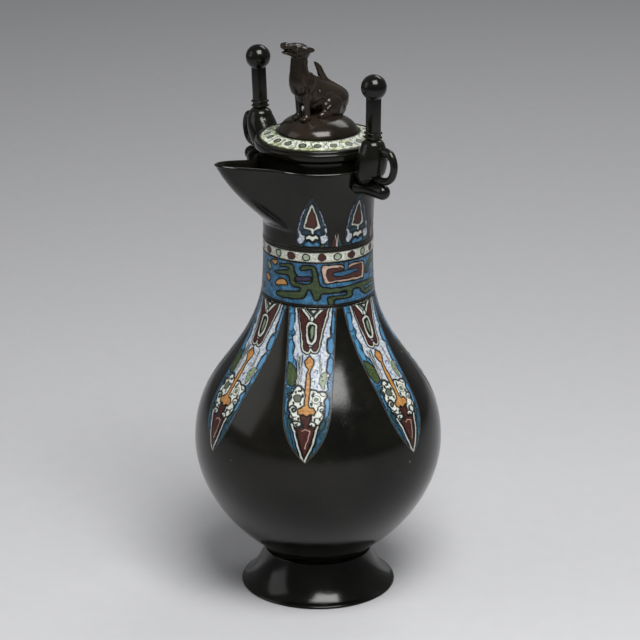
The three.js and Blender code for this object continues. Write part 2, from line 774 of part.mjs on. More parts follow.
// Places a post part's geometry in the jug's frame: side 1 is the +Y post, side -1 the -Y post
function besideMouth(geometry, side, lean = true) {
  if (lean) {
    geometry.translate(0, 0, -bossTop)
    geometry.rotateY(radians(postLeanOutDegrees))
    geometry.rotateX(-radians(postLeanForwardDegrees))
    geometry.translate(0, 0, bossTop)
  }
  geometry.translate(postLine, postForward, 0)
  const turn = new THREE.Matrix4().makeBasis(
    new THREE.Vector3(0, side, 0), new THREE.Vector3(-1, 0, 0), new THREE.Vector3(0, 0, 1))
  return closedBody(geometry.applyMatrix4(turn))
}

// The boss swells under the post and draws in towards the mouth at its foot
function bossBody(label) {
  const widest = bossRadius
  const inset = -bossFootInsets[label]
  const at = (out, share, radius) => [out, 0, bossBase + share * bossHeight, radius, radius]
  return limb([
    at(inset * 0.4, 0, widest * 0.4), at(inset * 0.9, 0.1, widest * 0.64), at(inset, 0.26, widest * 0.86),
    at(inset * 0.5, 0.46, widest * 0.98), at(inset * 0.15, 0.66, widest), at(0, 0.85, widest * 0.84),
    at(0, 1, widest * 0.62)
  ], 9, 14)
}

function bossGeometry(label, side) {
  const radius = postTenonRadius + socketClearance
  const socket = new THREE.CylinderGeometry(radius, radius, socketDepth + cutOverrun, 12)
  socket.rotateX(Math.PI / 2).translate(0, 0, bossTop + (cutOverrun - socketDepth) / 2)
  const loopHole = loopTube(label, loopTubeRadii[label] + socketClearance)
  const underFoot = squareBar(4 * bossRadius, bossHeight, bossBase - bossHeight)
  const boss = cutAway(bossBody(label), [socket, loopHole, underFoot])
  return cutAway(besideMouth(boss, side, false), [mouthClearance()])
}

// The loop's route in the post's own plane: out of the boss's shoulder and back in at its foot
function loopRoute(label) {
  const middle = bossBase + bossMiddle
  const reach = loopReaches[label] - loopTubeRadii[label]
  const point = (out, up) => new THREE.Vector3(out, 0, middle + up)
  return new THREE.CatmullRomCurve3([
    point(bossRadius * 0.6, loopTopAboveMiddle),
    point(reach * 0.82, loopTopAboveMiddle * 0.9),
    point(reach * 0.97, loopTopAboveMiddle * 0.45),
    point(reach, loopTopAboveMiddle * -0.1),
    point(reach * 0.88, loopFootBelowMiddle * -0.68),
    point(reach * 0.6, -loopFootBelowMiddle),
    point(bossRadius * 0.2, -loopFootBelowMiddle)
  ])
}

function loopTube(label, radius) {
  const section = new THREE.Shape().absarc(0, 0, radius, 0, 2 * Math.PI)
  return closedBody(new THREE.ExtrudeGeometry(section, {
    steps: 14, curveSegments: 4, bevelEnabled: false, extrudePath: loopRoute(label)
  }))
}

const loopGeometry = (label, side) => besideMouth(loopTube(label, loopTubeRadii[label]), side, false)

function squareBar(width, height, base) {
  return new THREE.BoxGeometry(width, width, height).translate(0, 0, base + height / 2)
}

function postGeometry(side) {
  const collarBase = bossTop + seatGap
  const ridge = postCollarHeight * 0.36
  const shaftBase = collarBase + postCollarHeight
  const tenon = new THREE.CylinderGeometry(postTenonRadius, postTenonRadius, postTenonLength + 1, 12)
  tenon.rotateX(Math.PI / 2).translate(0, 0, collarBase - postTenonLength + (postTenonLength + 1) / 2)
  const shaftTop = ballCentre - ballRadius * 0.6
  return besideMouth(joined([
    tenon,
    squareBar(postCollarWidth, ridge, collarBase),
    squareBar(postShaftWidth, shaftTop - collarBase, collarBase),
    squareBar(postCollarWidth, ridge, shaftBase - ridge),
    ellipsoid(0, 0, ballCentre, ballRadius, ballRadius, ballRadius, 14, 9)
  ]), side)
}

// The bracket: an arm from the mouth's wall, under the boss, with a knob at its end
function bracketGeometry(side) {
  const height = rimHeight - bracketBelowRim
  const reach = postLine + bracketReach
  const arm = new THREE.CylinderGeometry(bracketRadius, bracketRadius, reach, 12)
  arm.rotateZ(Math.PI / 2).translate(-postLine + reach / 2, 0, height)
  const knob = ellipsoid(bracketReach, 0, height, bracketKnobRadius, bracketKnobRadius, bracketKnobRadius)
  return cutAway(besideMouth(joined([arm, knob]), side, false), [mouthClearance(), boreClearance()])
}

function boreClearance() {
  return turned([
    profilePoint(0, mouthBase),
    profilePoint(bracketBoreRadius, mouthBase),
    profilePoint(bracketBoreRadius, rimHeight),
    profilePoint(0, rimHeight)
  ])
}

// Finishes

const finish = (color, roughness, metalness) => () =>
  new THREE.MeshStandardMaterial({ color, roughness, metalness })
const darkBronze = finish(0x2c2a20, 0.35, 0.85)
const brownBronze = finish(0x3d3127, 0.35, 0.85)
const blueEnamel = finish(0x3f74a8, 0.3, 0)
const whiteEnamel = finish(0xd8d8c8, 0.3, 0)
const leafEnamel = finish(0x8fa0c0, 0.3, 0)

const jug = new THREE.Group()

function addPart(name, geometry, material) {
  const part = new THREE.Mesh(geometry, material())
  part.name = name
  jug.add(part)
}

addPart('foot', footGeometry(), darkBronze)
addPart('base_plate', basePlateGeometry(), darkBronze)
addPart('body', bodyGeometry(), darkBronze)
addPart('neck', neckGeometry(), darkBronze)
addPart('mouth', mouthGeometry(), darkBronze)
addPart('lid_seat', lidSeatGeometry(), darkBronze)
addPart('scroll_band', bandGeometry(scrollBandBase, scrollBandTop), blueEnamel)
addPart('bead_band', bandGeometry(beadBandBase, beadBandTop), whiteEnamel)
bodyLeafAzimuths.forEach((azimuth, i) => addPart(`body_leaf_${i + 1}`, bodyLeafGeometry(i), leafEnamel))
neckLeafAzimuths.forEach((azimuth, i) =>
  addPart(`neck_leaf_${i + 1}`, standingLeafGeometry(azimuth, neckLeafShape), leafEnamel))
neckChipAzimuths.forEach((azimuth, i) =>
  addPart(`neck_chip_${i + 1}`, standingLeafGeometry(azimuth, neckChipShape), leafEnamel))

for (const [label, side] of [['near', -1], ['far', 1]]) {
  addPart(`post_${label}`, postGeometry(side), darkBronze)
  addPart(`boss_${label}`, bossGeometry(label, side), darkBronze)
  addPart(`loop_${label}`, loopGeometry(label, side), darkBronze)
  addPart(`bracket_${label}`, bracketGeometry(side), darkBronze)
}

addPart('lid', lidGeometry(), darkBronze)
addPart('lid_enamel', lidEnamelGeometry(), whiteEnamel)
addPart('lid_dome', domeGeometry(), brownBronze)
addPart('finial_pin', finialPinGeometry(), brownBronze)
addPart('finial_beast', beastGeometry(), brownBronze)

export default jug
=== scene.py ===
"""A lidded bronze pouring jug with champleve enamel, dressed for its portrait.

Sizes are in millimetres, and each finished mesh is scaled to metres.  The jug's axis is Z and the
pouring lip points along -X.  Azimuths are in degrees from the lip, anticlockwise seen from above.
"""
import math

import bmesh
import bpy
import numpy as np
from mathutils import Matrix, Vector


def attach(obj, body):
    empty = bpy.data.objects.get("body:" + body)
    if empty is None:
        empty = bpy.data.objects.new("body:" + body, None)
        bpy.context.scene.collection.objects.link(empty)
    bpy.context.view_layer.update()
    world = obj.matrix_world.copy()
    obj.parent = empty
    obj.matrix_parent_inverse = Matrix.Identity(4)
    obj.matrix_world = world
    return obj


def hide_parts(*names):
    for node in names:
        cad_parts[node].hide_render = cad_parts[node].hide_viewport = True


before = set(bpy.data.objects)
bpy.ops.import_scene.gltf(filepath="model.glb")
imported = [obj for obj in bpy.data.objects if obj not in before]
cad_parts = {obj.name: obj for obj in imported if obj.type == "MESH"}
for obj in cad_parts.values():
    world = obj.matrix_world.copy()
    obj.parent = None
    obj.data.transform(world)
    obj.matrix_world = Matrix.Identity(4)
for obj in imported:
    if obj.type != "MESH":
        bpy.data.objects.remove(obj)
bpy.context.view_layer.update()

MM = 0.001
AROUND = 224

# Foot and base plate
FOOT_RADIUS, FOOT_HEIGHT, FOOT_TOP_RADIUS = 57.5, 28.0, 39.8
FOOT_LIP = (54.65, 3.0)
FOOT_BEND = (45.5, 10.5)
STAND_INNER = 50.5
SOCKET_RADIUS, SOCKET_FLOOR = 34.8, 23.7
FOOT_WALL = 3.4
PLATE_RADIUS, PLATE_BASE, PLATE_TOP = 50.2, 1.0, 3.2

# Body
BODY_BASE = 28.3
SPIGOT_RADIUS, SPIGOT_BASE = 34.5, 24.3
LOWER_CURVE = [(41.0, 32.8), (60.96, 45.13), (90.9, 77.19), (90.9, 115.0)]
UPPER_CURVE = [(90.9, 115.0), (90.9, 168.05), (53.28, 175.78), (41.2, 228.6)]
BODY_WALL = 3.0

# Neck and its two enamel bands
NECK_BASE, NECK_TOP = 228.9, 271.0
NECK_RADIUS, NECK_FLARE, NECK_BORE = 39.7, 1.5, 36.7
NECK_SPIGOT, NECK_SPIGOT_LENGTH = 37.9, 7
SCROLL_BAND = (230.1, 261.1)
BEAD_BAND = (261.7, 268.9)
ENAMEL_DEPTH = 0.9
GROOVE_DEPTH = ENAMEL_DEPTH + 0.2

# Mouth and pouring lip
MOUTH_BASE, MOUTH_HEIGHT, MOUTH_WALL = 271.3, 58.2, 2.6
RIM_FLARE, FLARE_POWER = 11.3, 3.5
LIP_REACH, LIP_RISE, LIP_START = 43.0, 10.3, 0.18
LIP_WIDTH, THROAT_EXTRA, LIP_RISE_WIDTH = 14.0, 9.0, 16.52
MOUTH_SPIGOT, MOUTH_SPIGOT_BORE, MOUTH_SPIGOT_BASE = 36.4, 34.6, 264.3
SEAT_INNER, SEAT_OUTER, SEAT_BASE, SEAT_TOP = 35.5, 40.3, 313.5, 316.5
CORD_HEIGHT, CORD_HALF_WIDTH, CORD_RISE = 272.1, 0.35, 0.22

# Lid
LID_SPIGOT, LID_SPIGOT_BORE, LID_SPIGOT_BASE, COLLAR_BASE = 34.9, 32.3, 305.8, 316.8
COLLAR_FOOT, COLLAR_RADIUS, RIM_HEIGHT = 40.8, 42.4, 329.5
MOULDING_BASE, MOULDING_TOP, MOULDING_RADIUS = 334.7, 343.6, 45.4
RING_OUTER, RING_INNER, DECK_TOP = 41.8, 29.6, 347.8
LID_INNER_TOP = 344.0
PIN_HOLE, PIN_HEAD, PIN_SHANK = 2.3, 4.5, 2
PIN_BASE, PIN_NECK, PIN_TOP = 342.1, 343.7, 367.3
DOME_BASE, DOME_RADIUS, DOME_HEIGHT, DOME_WALL = 348.1, 28.4, 12.2, 2.6
DOME_CURVE = [(28.4, 0.0), (26.8, 7.56), (15.62, 12.2), (0.0, 12.2)]
DOME_TOP = DOME_BASE + DOME_HEIGHT

# Posts, bosses, loops and brackets beside the mouth
POST_LINE, POST_FORWARD = 60.0, 2.5
LEAN_OUT, LEAN_FORWARD = math.radians(2.0), math.radians(1.2)
BOSS_BASE, BOSS_TOP, BOSS_RADIUS = 322.3, 353.9, 10.8
BOSS_INSET = {"near": 3.0, "far": 7.5}
COLLAR_WIDTH, SHAFT_WIDTH, BALL_RADIUS, BALL_CENTRE = 9.6, 8.1, 9.0, 391.0
LOOP_REACH = {"near": 24.0, "far": 18.8}
LOOP_TUBE = {"near": 2.7, "far": 2.3}
LOOP_MIDDLE = 336.84
BRACKET_HEIGHT = 317.5

# Enamel leaves
LEAF_HALF_WIDTH, LEAF_TOP, LEAF_SHOULDER, LEAF_ARCH = 17.8, 228.3, 168.0, 2.6
BODY_LEAVES = [(-8.8, 121.0), (42.2, 128.2), (97.7, 124.0), (151.2, 125.5), (201.2, 126.5), (251.2, 125.0),
    (301.2, 124.0)]
DRAWN_TIP = 128.2
NECK_LEAF_LIFT = 1.6
NECK_LEAF = (12.0, 39.0, 2.2)
NECK_CHIP = (4.3, 14.0, 1.0)
NECK_LEAVES = [42.2, 93.2, 145.2, 196.2, 248.2, 299.2]
PROUD = 0.08

# The camera looks at the jug from this azimuth, which is where the pattern bands are centred
VIEW_AZIMUTH = 48.2

# How finely the grids are divided, how close corners are merged, and a distance that is nowhere near
FINE = 1.0
MERGE = 0.002
NOWHERE_NEAR = 9.0


# Outlines

def on_jug(radius, degrees, height):
    """A point at a radius, an azimuth from the lip and a height."""
    angle = math.radians(degrees)
    return Vector((-radius * math.cos(angle), -radius * math.sin(angle), height))


def bezier(controls, share):
    """A point part of the way along a curve through its control points."""
    points = [Vector(c) for c in controls]
    while len(points) > 1:
        points = [a.lerp(b, share) for a, b in zip(points, points[1:])]
    return points[0]


def curve(controls, count):
    return [bezier(controls, i / count) for i in range(count + 1)]


def moved_in(points, depth):
    """An outline moved square to itself, to the left of its direction of travel."""
    moved = []
    for i, point in enumerate(points):
        along = points[min(i + 1, len(points) - 1)] - points[max(i - 1, 0)]
        along.normalize()
        moved.append(point + Vector((-along.y, along.x)) * depth)
    return moved


def softened(points, radius, steps=4):
    """An outline whose corners are rounded off."""
    points = [Vector(p) for p in points]
    rounded = [points[0]]
    for before, corner, after in zip(points, points[1:], points[2:]):
        arrive, leave = before - corner, after - corner
        if arrive.length < 1e-6 or leave.length < 1e-6 or arrive.angle(leave) > 2.7:
            rounded.append(corner)
            continue
        cut = min(radius, 0.45 * arrive.length, 0.45 * leave.length)
        start, end = corner + arrive.normalized() * cut, corner + leave.normalized() * cut
        rounded += curve([start, corner, end], steps)
    return rounded + [points[-1]]


def spline(stations, share):
    """A smooth run through stations of any number of values, by Catmull and Rom's rule."""
    place = share * (len(stations) - 1)
    first = min(int(place), len(stations) - 2)
    t = place - first
    a, b, c, d = (np.array(stations[min(max(first + k, 0), len(stations) - 1)], float)
        for k in (-1, 0, 1, 2))
    return 0.5 * (2 * b + (c - a) * t + (2 * a - 5 * b + 4 * c - d) * t * t
        + (3 * b - a - 3 * c + d) * t ** 3)


def rising(values, low, high):
    """0 below one level, 1 above the other, and a smooth rise between."""
    share = np.clip((values - low) / (high - low), 0, 1)
    return share * share * (3 - 2 * share)


# Mesh making

def turned(outline, steps=AROUND):
    """Spins an outline of (radius, height) points about the jug's axis."""
    mesh = bmesh.new()
    corners = [mesh.verts.new((radius, 0, height)) for radius, height in outline]
    edges = [mesh.edges.new(pair) for pair in zip(corners, corners[1:])]
    bmesh.ops.spin(mesh, geom=corners + edges, cent=(0, 0, 0), axis=(0, 0, 1), angle=math.tau, steps=steps,
        use_merge=True)
    bmesh.ops.remove_doubles(mesh, verts=mesh.verts, dist=MERGE)
    bmesh.ops.recalc_face_normals(mesh, faces=mesh.faces)
    return mesh


def sheet(columns, rows, place, mesh=None):
    """A grid of faces, each corner put in place by its share across and its share along."""
    mesh = mesh or bmesh.new()
    made = bmesh.ops.create_grid(mesh, x_segments=columns, y_segments=rows, size=0.5)["verts"]
    for corner in made:
        corner.co = place(corner.co.x + 0.5, corner.co.y + 0.5)
    bmesh.ops.remove_doubles(mesh, verts=made, dist=MERGE)
    bmesh.ops.recalc_face_normals(mesh, faces=mesh.faces)
    return mesh


def limb(stations, rings=24, sides=20, mesh=None):
    """Oval rings square to a smooth run of stations [x, y, z, half width, half height], ends rounded."""
    end_share = 0.14

    def place(around, along):
        x, y, z, wide, high = spline(stations, along)
        ahead = spline(stations, min(1, along + 0.01)) - spline(stations, max(0, along - 0.01))
        travel = Vector(ahead[:3]).normalized()
        across = Vector((0, 1, 0))
        if abs(travel.dot(across)) > 0.8:
            across = Vector((1, 0, 0))
        upwards = travel.cross(across).normalized()
        across = upwards.cross(travel).normalized()
        end = min(along, 1 - along)
        closing = math.sin(math.pi / 2 * end / end_share) ** 0.5 if end < end_share else 1
        turn = math.tau * around
        return Vector((x, y, z)) + (across * math.cos(turn) * wide
            + upwards * math.sin(turn) * high) * closing
    return sheet(sides, rings, place, mesh)


def ball(mesh, x, y, z, rx, ry, rz, detail):
    """A round or oval ball."""
    bmesh.ops.create_uvsphere(mesh, u_segments=detail, v_segments=detail // 2, radius=1,
        matrix=Matrix.Translation((x, y, z)) @ Matrix.Diagonal((rx, ry, rz, 1)))


def block(width, base, top, rounding, mesh=None):
    """An upright square bar with rounded edges, standing on the Z axis."""
    mesh = mesh or bmesh.new()
    height = top - base
    place = Matrix.Translation((0, 0, base + height / 2)) @ Matrix.Diagonal((width, width, height, 1))
    made = bmesh.ops.create_cube(mesh, size=1, matrix=place)["verts"]
    edges = {edge for corner in made for edge in corner.link_edges}
    bmesh.ops.bevel(mesh, geom=list(edges), offset=rounding, offset_type="OFFSET", affect="EDGES",
        segments=4, profile=0.5, material=-1)
    return mesh


def fused(mesh, grain):
    """Overlapping lumps melted into one skin, with faces about one grain wide."""
    data = bpy.data.meshes.new("lumps")
    mesh.to_mesh(data)
    mesh.free()
    lumps = bpy.data.objects.new("lumps", data)
    bpy.context.scene.collection.objects.link(lumps)
    change = lumps.modifiers.new("fuse", "REMESH")
    change.mode, change.voxel_size = "VOXEL", grain
    skin = bpy.data.meshes.new_from_object(lumps.evaluated_get(bpy.context.evaluated_depsgraph_get()))
    whole = bmesh.new()
    whole.from_mesh(skin)
    bpy.data.objects.remove(lumps)
    for used in (data, skin):
        bpy.data.meshes.remove(used)
    return whole


def mark_wear(mesh, low=0.18, high=0.6):
    """Notes how sharply the surface turns outwards, where handling polishes the bronze."""
    mesh.normal_update()
    mesh.verts.index_update()
    turn = np.zeros(len(mesh.verts))
    for corner in mesh.verts:
        total = 0.0
        for edge in corner.link_edges:
            away = corner.co - edge.other_vert(corner).co
            total += corner.normal.dot(away) / max(away.length_squared, 0.01)
        turn[corner.index] = total / max(1, len(corner.link_edges))
    layer = mesh.verts.layers.float.new("worn")
    for corner in mesh.verts:
        nearby = [turn[edge.other_vert(corner).index] for edge in corner.link_edges]
        level = 0.5 * turn[corner.index] + 0.5 * sum(nearby) / max(1, len(nearby))
        corner[layer] = min(1, max(0, (level - low) / (high - low)))


def piece(name, mesh, body, nodes, finish, wear=True):
    """Turns a mesh into a named piece of the jug, in metres, riding on its body."""
    if wear:
        mark_wear(mesh)
    bmesh.ops.scale(mesh, vec=(MM, MM, MM), verts=mesh.verts)
    for face in mesh.faces:
        face.smooth = True
    data = bpy.data.meshes.new(name)
    mesh.to_mesh(data)
    mesh.free()
    made = bpy.data.objects.new(name, data)
    bpy.context.scene.collection.objects.link(made)
    data.materials.append(finish.material)
    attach(made, body)
    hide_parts(*nodes)


# Finishes

class Shade:
    """A socket of a finish, used in plain arithmetic."""

    def __init__(self, finish, socket):
        self.finish, self.socket = finish, socket

    def maths(self, operation, *values):
        sockets = dict(enumerate(values))
        return self.finish.node("ShaderNodeMath", {"operation": operation}, sockets)

    def __add__(self, other):
        return self.maths("ADD", self, other)

    def __mul__(self, other):
        return self.maths("MULTIPLY", self, other)

    def __sub__(self, other):
        return self.maths("SUBTRACT", self, other)

    def __rsub__(self, other):
        return self.maths("SUBTRACT", other, self)

    __radd__ = __add__

    def over(self, low, high):
        """0 below one level, 1 above the other, and a smooth rise between."""
        levels = {"Value": self, "From Min": low, "From Max": high}
        return self.finish.node("ShaderNodeMapRange", {"interpolation_type": "SMOOTHSTEP"}, levels)


class Finish:
    """A material, with its nodes made one call at a time."""

    def __init__(self, name, **constants):
        self.material = bpy.data.materials.new(name)
        self.material.use_nodes = True
        self.tree = self.material.node_tree
        self.surface = self.tree.nodes["Principled BSDF"]
        self.place = self.node("ShaderNodeTexCoord", {}, {}, "Object")
        for socket, value in constants.items():
            self.surface.inputs[socket.replace("_", " ")].default_value = value

    def node(self, kind, settings, sockets, output=0):
        made = self.tree.nodes.new(kind)
        for name, value in settings.items():
            setattr(made, name, value)
        for name, value in sockets.items():
            if isinstance(value, Shade):
                self.tree.links.new(value.socket, made.inputs[name])
            else:
                made.inputs[name].default_value = value
        return Shade(self, made.outputs[output])

    def noise(self, scale, detail=3.0, roughness=0.55, place=None):
        sockets = {"Vector": place or self.place, "Scale": scale, "Detail": detail, "Roughness": roughness}
        return self.node("ShaderNodeTexNoise", {}, sockets)

    def cells(self, scale, place):
        return self.node("ShaderNodeTexVoronoi", {}, {"Vector": place, "Scale": scale})

    def stretched(self, turn, scale):
        sockets = {"Vector": self.place, "Rotation": turn, "Scale": scale}
        return self.node("ShaderNodeMapping", {}, sockets)

    def shaken(self, scale, reach):
        """Places moved about by a noise, so that round dots on them turn ragged."""
        noise = self.node("ShaderNodeTexNoise", {}, {"Vector": self.place, "Scale": scale, "Detail": 3.0},
            "Color")
        sockets = {0: noise, 1: (reach, reach, reach), 2: self.place}
        return self.node("ShaderNodeVectorMath", {"operation": "MULTIPLY_ADD"}, sockets)

    def stored(self, name, output="Fac"):
        return self.node("ShaderNodeAttribute", {"attribute_name": name}, {}, output)

    def mix(self, factor, first, second):
        """A colour part of the way from the first to the second."""
        sockets = {0: factor, 6: colour_of(first), 7: colour_of(second)}
        return self.node("ShaderNodeMix", {"data_type": "RGBA"}, sockets, 2)

    def bump(self, height, distance):
        return self.node("ShaderNodeBump", {}, {"Height": height, "Distance": distance})

    def drive(self, **sockets):
        for name, value in sockets.items():
            self.tree.links.new(value.socket, self.surface.inputs[name.replace("_", " ")])
        return self


def colour_of(value):
    """A linear colour with full opacity, or a link left as it is."""
    return value if isinstance(value, Shade) else (*value, 1.0)


def patinated(name, deep, light, polished, shine):
    """Bronze under a dark waxed patina, with faint rubbed edges and a few pale nicks."""
    f = Finish(name, Specular_IOR_Level=0.36)
    clouds = f.noise(22, 4, 0.6)
    smudges = f.noise(75, 5, 0.62)
    grain = f.noise(800, 3, 0.6)
    fine = f.noise(2600, 2, 0.5)
    scratch_lines = f.noise(1, 2, 0.5, f.stretched((0.3, 0.5, 0.2), (1700, 1300, 70)))
    scratches = scratch_lines.over(0.70, 0.76) * smudges.over(0.5, 0.66)
    nicks = (1 - f.cells(44, f.shaken(260, 0.0035)).over(0.022, 0.036)) * clouds.over(0.45, 0.52)
    pits = (1 - f.cells(520, f.shaken(900, 0.0006)).over(0.10, 0.22)) * smudges.over(0.5, 0.66)
    rub = (f.stored("worn") + (smudges - 0.5) * 0.8).over(0.35, 1.25)
    skin = f.mix(clouds.over(0.36, 0.66), deep, light)
    skin = f.mix(smudges.over(0.5, 0.85) * 0.6, skin, tuple(1.7 * c for c in light))
    skin = f.mix(pits * 0.6, skin, tuple(0.4 * c for c in deep))
    skin = f.mix(rub * 0.55, skin, polished)
    skin = f.mix(scratches * 0.35, skin, polished)
    skin = f.mix(nicks * 0.8, skin, (0.20, 0.20, 0.175))
    rough = shine + smudges * 0.12 + grain * 0.06 + pits * 0.1 + nicks * 0.3
    height = smudges * 0.22 + grain * 0.08 + fine * 0.02 - pits * 0.2 - scratches * 0.1 - nicks * 0.2
    return f.drive(Base_Color=skin, Roughness=rough, Metallic=0.2 + rub * 0.5,
        Normal=f.bump(height, 0.0002))


def enamelled_finish(name, gloss):
    """Glass paste in metal cells: the mesh carries its colours and its walls."""
    f = Finish(name, Specular_IOR_Level=0.3)
    walls = f.stored("wall").over(0.3, 0.7)
    clouds = f.noise(150, 4, 0.62)
    speckle = f.noise(1300, 3, 0.7)
    pits = (1 - f.cells(1000, f.shaken(1500, 0.0004)).over(0.14, 0.30)) * clouds.over(0.44, 0.54)
    holes = (1 - f.cells(430, f.shaken(1200, 0.0007)).over(0.11, 0.2)) * clouds.over(0.40, 0.5)
    grit = speckle.over(0.58, 0.70)
    pale = (1 - speckle).over(0.60, 0.72)
    glass = f.stored("enamel", "Color")
    uneven = {"Hue": 0.5, "Saturation": 1.0, "Value": 0.76 + clouds * 0.46, "Color": glass}
    shaded = f.node("ShaderNodeHueSaturation", {}, uneven)
    glass = f.mix(grit * 0.4, shaded, (0.04, 0.045, 0.04))
    glass = f.mix(pale * 0.12, glass, (0.6, 0.62, 0.58))
    glass = f.mix(pits * 0.7, glass, (0.03, 0.03, 0.024))
    glass = f.mix(holes * 0.8, glass, (0.014, 0.014, 0.011))
    metal = f.mix(clouds.over(0.45, 0.7), (0.006, 0.006, 0.005), (0.020, 0.015, 0.009))
    colour = f.mix(walls, glass, metal)
    rough = gloss + clouds * 0.16 + pits * 0.25 + holes * 0.25 + grit * 0.12
    height = walls * 0.35 + speckle * 0.12 + clouds * 0.3 - pits * 0.35 - holes * 0.6
    return f.drive(Base_Color=colour, Roughness=rough, Metallic=walls * 0.5, Normal=f.bump(height, 0.0002))


dark_bronze = patinated("dark_bronze", (0.0035, 0.0036, 0.0026), (0.0085, 0.0078, 0.0052),
    (0.070, 0.060, 0.040), 0.07)
brown_bronze = patinated("brown_bronze", (0.0085, 0.0070, 0.0048), (0.024, 0.0165, 0.0112),
    (0.13, 0.10, 0.07), 0.08)
band_enamel = enamelled_finish("band_enamel", 0.2)
white_enamel = enamelled_finish("white_enamel", 0.24)
leaf_enamel = enamelled_finish("leaf_enamel", 0.22)

# Enamel colours, linear
WHITE, CREAM = (0.62, 0.65, 0.58), (0.50, 0.51, 0.42)
LAVENDER, PALE_BLUE = (0.36, 0.40, 0.54), (0.42, 0.50, 0.56)
SKY, BLUE, DEEP_BLUE = (0.070, 0.22, 0.38), (0.026, 0.105, 0.20), (0.009, 0.025, 0.050)
TEAL, SLATE = (0.014, 0.060, 0.070), (0.018, 0.045, 0.070)
GREEN, LEAF_GREEN, SAGE = (0.034, 0.056, 0.016), (0.062, 0.090, 0.036), (0.20, 0.26, 0.16)
OLIVE_YELLOW = (0.26, 0.28, 0.07)
MAROON, DARK_MAROON, PURPLE = (0.060, 0.016, 0.012), (0.030, 0.008, 0.008), (0.032, 0.024, 0.055)
OCHRE, DULL_OCHRE, PINK = (0.48, 0.24, 0.07), (0.30, 0.13, 0.045), (0.54, 0.38, 0.30)
GREY_GREEN, DARK, TAN = (0.095, 0.11, 0.08), (0.006, 0.008, 0.007), (0.10, 0.065, 0.035)


# Drawing in enamel

